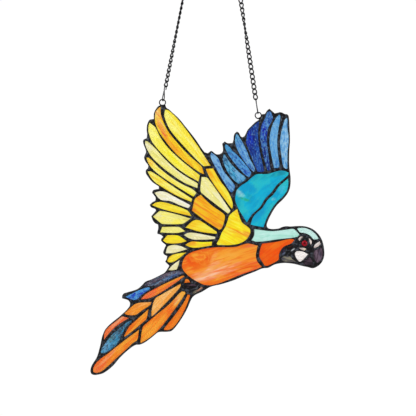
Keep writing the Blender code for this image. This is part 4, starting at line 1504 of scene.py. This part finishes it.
def joined(parts: list[Shape]) -> Shape:
    """Puts several closed shapes into one set of rows and faces.

    Args:
        parts: rows and faces of each shape.

    Returns:
        All the rows and all the faces.
    """
    rows, faces, start = [], [], 0
    for points, polygons in parts:
        rows.append(points)
        faces += [tuple(v + start for v in polygon) for polygon in polygons]
        start += len(points)
    return np.concatenate(rows), faces


@dataclass
class HangingRing:
    """A wire ring in the panel's plane, soldered to the lattice."""

    name: str
    centre: Pair
    solder_side: float
    radius: float = 4.1
    wire: Wire = field(default_factory=lambda: Wire(0.8, 14))
    steps: int = 56
    fillet: float = 0.5
    fillet_start: float = 0.72
    fillet_curve: float = 1.5

    def build(self, material: bpy.types.Material) -> bpy.types.Object:
        """Makes the ring.

        Args:
            material: its patina.

        Returns:
            The piece.
        """
        angles = np.arange(self.steps) * math.tau / self.steps
        middle = np.array((self.centre[0], 0.0, self.centre[1]))
        outward = np.stack((np.cos(angles), np.zeros(self.steps), np.sin(angles)), axis=1)
        near = np.cos(angles - math.radians(self.solder_side))
        ramp = np.clip((near - self.fillet_start) / (1.0 - self.fillet_start), 0.0, 1.0)
        radii = self.wire.radius * (1.0 + self.fillet * ramp ** self.fillet_curve)
        shape = self.wire.tube(middle + outward * self.radius, True, -outward, radii)
        return add_piece(self.name, shape, material, "black_solder", "solder_lattice")


@dataclass
class HangingChain:
    """A curb chain with an S-hook at each end, up from a ring to the hanging point."""

    node: str
    ring: Pair
    lean: float
    links: int
    hook_turns: Pair
    rolls: tuple[Pair, ...]
    ring_radius: float = 4.1
    ring_wire: float = 1.6
    hook_wire: float = 1.5
    hook_height: float = 22.3
    crook: float = 3.95
    end_drop: float = 20.0
    leg_end: Pair = (-2.9, 3.2)
    hook_steps: tuple[int, int, int, int] = (24, 8, 22, 7)
    hook_sides: int = 12
    tip: float = 0.72
    link_wire: float = 1.8
    link_width: float = 7.2
    link_steps: int = 36
    twist: float = 45.0
    touch: float = 0.08
    slack: float = 0.3

    def build(self, material: bpy.types.Material) -> None:
        """Makes the chain and its two hooks.

        Args:
            material: the finish of its wire.
        """
        up = np.array((self.lean, 0.0, 1.0))
        up /= np.linalg.norm(up)
        ring_top = np.array((self.ring[0], 0.0, self.ring[1])) + up * self.ring_radius
        reach = self.hook_height - self.hook_wire
        drop = (self.ring_wire + self.hook_wire) / 2 + self.slack
        lower = ring_top + up * (reach - drop)
        upper = lower + up * ((-self.hook_wire / 2 - lower[2]) / up[2])
        seat = (self.hook_wire + self.link_wire) / 2 - self.touch
        foot = lower - up * seat
        run = float(np.linalg.norm(upper - up * (reach - seat) - foot))
        pitch = (run - self.link_wire) / self.links
        shapes = []
        for index in range(self.links):
            centre = foot + up * ((pitch + self.link_wire) / 2 + pitch * index)
            shapes.append(self.link(centre, up, pitch, self.roll(index / (self.links - 1))))
        add_piece(f"{self.node}_curb_links", joined(shapes), material, "dark_chain", self.node)
        for end, crown, turn in zip(("lower", "upper"), (lower, upper), self.hook_turns):
            add_piece(f"{self.node}_{end}_hook", self.hook(crown, up, math.radians(turn)),
                      material, "dark_chain", self.node)

    def roll(self, share: float) -> float:
        """Gives a link's roll in radians, read between the stated turns along the chain."""
        shares, turns = zip(*self.rolls)
        return math.radians(float(np.interp(share, shares, turns)))

    def link(self, centre: np.ndarray, up: np.ndarray, pitch: float, roll: float) -> Shape:
        """Draws one curb link, an oval of wire whose ends are twisted against each other.

        Args:
            centre: its middle.
            up: the chain's direction.
            pitch: the length of chain that it adds.
            roll: its turn about the chain.

        Returns:
            Rows and faces.
        """
        right = np.array((1.0, 0.0, 0.0)) - up * up[0]
        right /= np.linalg.norm(right)
        behind = np.cross(up, right)
        t = np.arange(self.link_steps) * math.tau / self.link_steps
        angle = roll + math.radians(self.twist) * np.cos(t)
        sideways = np.outer(np.cos(angle), right) + np.outer(np.sin(angle), behind)
        half_length = (pitch + self.link_wire) / 2
        half_width = (self.link_width - self.link_wire) / 2
        path = centre + np.outer(half_length * np.cos(t), up)
        path = path + sideways * (half_width * np.sin(t))[:, None]
        return Wire(self.link_wire / 2).tube(path, True, centre - path)

    def hook(self, crown: np.ndarray, up: np.ndarray, turn: float) -> Shape:
        """Draws an S-hook.

        Args:
            crown: the middle of the wire at its top.
            up: its long direction.
            turn: how far its plane is turned about that, in radians.

        Returns:
            Rows and faces.
        """
        side = np.array((math.cos(turn), math.sin(turn), 0.0))
        side -= up * (side @ up)
        side /= np.linalg.norm(side)
        reach = (self.hook_height - self.hook_wire) / 2 - self.crook
        lean = math.asin(self.crook / reach)
        start, end = -math.radians(self.end_drop), math.pi + lean
        upper_steps, shank_steps, lower_steps, leg_steps = self.hook_steps
        upper = self.bow(start + (end - start) * np.arange(upper_steps + 1) / upper_steps, reach)
        lower = -self.bow(end * (1.0 - np.arange(lower_steps + 1) / lower_steps), reach)
        shank = upper[-1] + np.outer(np.arange(1, shank_steps) / shank_steps,
                                     lower[0] - upper[-1])
        leg = lower[-1] + np.outer(np.arange(1, leg_steps + 1) / leg_steps,
                                   np.array(self.leg_end) - lower[-1])
        line = np.concatenate((upper, shank, lower, leg))
        middle = crown - up * (self.hook_height - self.hook_wire) / 2
        path = middle + np.outer(line[:, 0], side) + np.outer(line[:, 1], up)
        radii = np.full(len(path), self.hook_wire / 2)
        radii[[0, -1]] *= self.tip
        normal = np.tile(np.cross(side, up), (len(path), 1))
        return Wire(self.hook_wire / 2, self.hook_sides).tube(path, False, normal, radii)

    def bow(self, angles: np.ndarray, reach: float) -> np.ndarray:
        """Gives the points of a hook's upper bend, whose middle is at a height, at angles."""
        return np.stack((self.crook * np.cos(angles), reach + self.crook * np.sin(angles)), axis=1)


@dataclass
class Studio:
    """The camera, soft lights, white surround and pale floor."""

    distance: float = 1.9
    field_width: float = PHOTO_SIZE * PIXEL
    sensor: float = 36.0
    aim: float = -0.33
    floor_height: float = -0.92
    floor_radius: float = 2.3
    floor_rings: tuple[float, ...] = (0.0, 400.0, 1200.0)
    floor_sides: int = 96
    floor_fade: Pair = (0.55, 0.98)
    floor_grain: float = 300.0
    front_light: float = 0.3
    back_light: float = 1.0
    backdrop: float = 1.02

    def camera(self) -> None:
        """Sets the camera square on to the panel, as in the photograph."""
        x, z = from_photo(PHOTO_SIZE / 2, PHOTO_SIZE / 2)
        data = bpy.data.cameras.new("camera")
        data.sensor_width = self.sensor
        data.lens = self.sensor * self.distance / (self.field_width * MM)
        camera = add_object("camera", data)
        camera.location = (x * MM, -self.distance, z * MM)
        camera.rotation_euler = (math.pi / 2, 0.0, 0.0)
        bpy.context.scene.camera = camera

    def lamp(self, name: str, place: tuple[float, float, float], size: float,
             power: float) -> None:
        """Adds a soft square lamp that looks at the panel's middle.

        Args:
            name: its name.
            place: where it stands, in metres.
            size: its side, in metres.
            power: its power, in watts.
        """
        data = bpy.data.lights.new(name, "AREA")
        data.size = size
        data.energy = power
        lamp = add_object(name, data)
        lamp.location = place
        toward = Vector((0.0, 0.0, self.aim)) - Vector(place)
        lamp.rotation_euler = toward.to_track_quat("-Z", "Y").to_euler()

    def surround(self) -> None:
        """Surrounds the panel with white light, dimmer from the viewer's side than from behind."""
        world = bpy.data.worlds.new("white_studio")
        world.use_nodes = True
        nodes = world.node_tree.nodes
        split = feed(nodes.new("ShaderNodeSeparateXYZ"),
                     {"Vector": nodes.new("ShaderNodeTexCoord").outputs["Generated"]}, output=1)
        level = feed(nodes.new("ShaderNodeMapRange"),
                     {"Value": split, "From Min": -1.0, "To Min": self.front_light,
                      "To Max": self.back_light})
        seen = nodes.new("ShaderNodeLightPath").outputs["Is Camera Ray"]
        strength = feed(nodes.new("ShaderNodeMix"), {0: seen, 2: level, 3: self.backdrop})
        feed(nodes["Background"], {"Color": (1.0, 1.0, 1.0, 1.0), "Strength": strength})
        bpy.context.scene.world = world

    def floor(self) -> None:
        """Lays a round pale floor, which fades out at its rim, well below the hanging panel."""
        radii = (*self.floor_rings, self.floor_radius / MM)
        rows, faces = turned([(radius, 0.0) for radius in radii], self.floor_sides)
        mesh = mesh_of("studio_floor", rows[:, (0, 2, 1)], faces)
        floor = add_object("studio_floor", mesh)
        floor.location = (0.0, 0.0, self.floor_height)
        sketch = Sketch("pale_floor")
        tone = sketch.noise(sketch.even(self.floor_grain), detail=2.0)
        start, end = (self.floor_radius * share for share in self.floor_fade)
        sketch.shade(Base_Color=sketch.mix(tone, "#F6F5F3", "#F1F0EE"), Roughness=0.8,
                     Specular_IOR_Level=0.1,
                     Alpha=sketch.ranged(sketch.length(sketch.place), start, end, 1.0, 0.0))
        mesh.materials.append(sketch.material)

    def build(self) -> None:
        """Sets up the whole studio."""
        self.surround()
        self.floor()
        self.lamp("key_light", (-1.1, -1.6, 0.6), 0.6, 28.0)
        self.lamp("fill_light", (1.4, -1.2, -0.1), 0.9, 12.0)
        self.camera()
        bpy.context.scene.view_settings.view_transform = "Standard"


def main() -> None:
    """Builds the panel, its glass, its hardware and the studio."""
    logging.basicConfig(level=logging.INFO, format="%(message)s")
    solder = Patina("black_patina", painted_highlights=PAINTED_SOLDER_HIGHLIGHTS).dress()
    steel = Patina("darkened_steel", "#141417", "#5E6066", grain=2.4, wear_and_sheen=0.6, metallic=0.6,
                   gloss=0.4, roughness=(0.22, 0.4), relief=0.05).dress()
    lattice = SolderLattice()
    lattice.trace(Drawing())
    lattice.build(solder)
    Glazing(lattice).build()
    JewelEye().build()
    left_ring = (-67.05, -161.3)
    right_ring = (62.25, -178.8)
    HangingRing("left_ring", left_ring, -90.0).build(solder)
    HangingRing("right_ring", right_ring, -60.0).build(solder)
    HangingChain("chain_left", left_ring, 0.1985, 18, (75.0, 90.0),
                 ((0.0, 56.0), (0.3, 64.0), (0.5, 78.0), (0.7, 90.0), (1.0, 98.0))).build(steel)
    HangingChain("chain_right", right_ring, -0.152, 20, (86.0, 90.0),
                 ((0.0, 20.0), (0.15, 16.0), (0.42, 26.0), (0.58, 50.0), (0.72, 90.0),
                  (0.86, 125.0), (1.0, 150.0))).build(steel)
    Studio().build()
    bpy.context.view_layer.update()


if __name__ == "__main__":
    main()
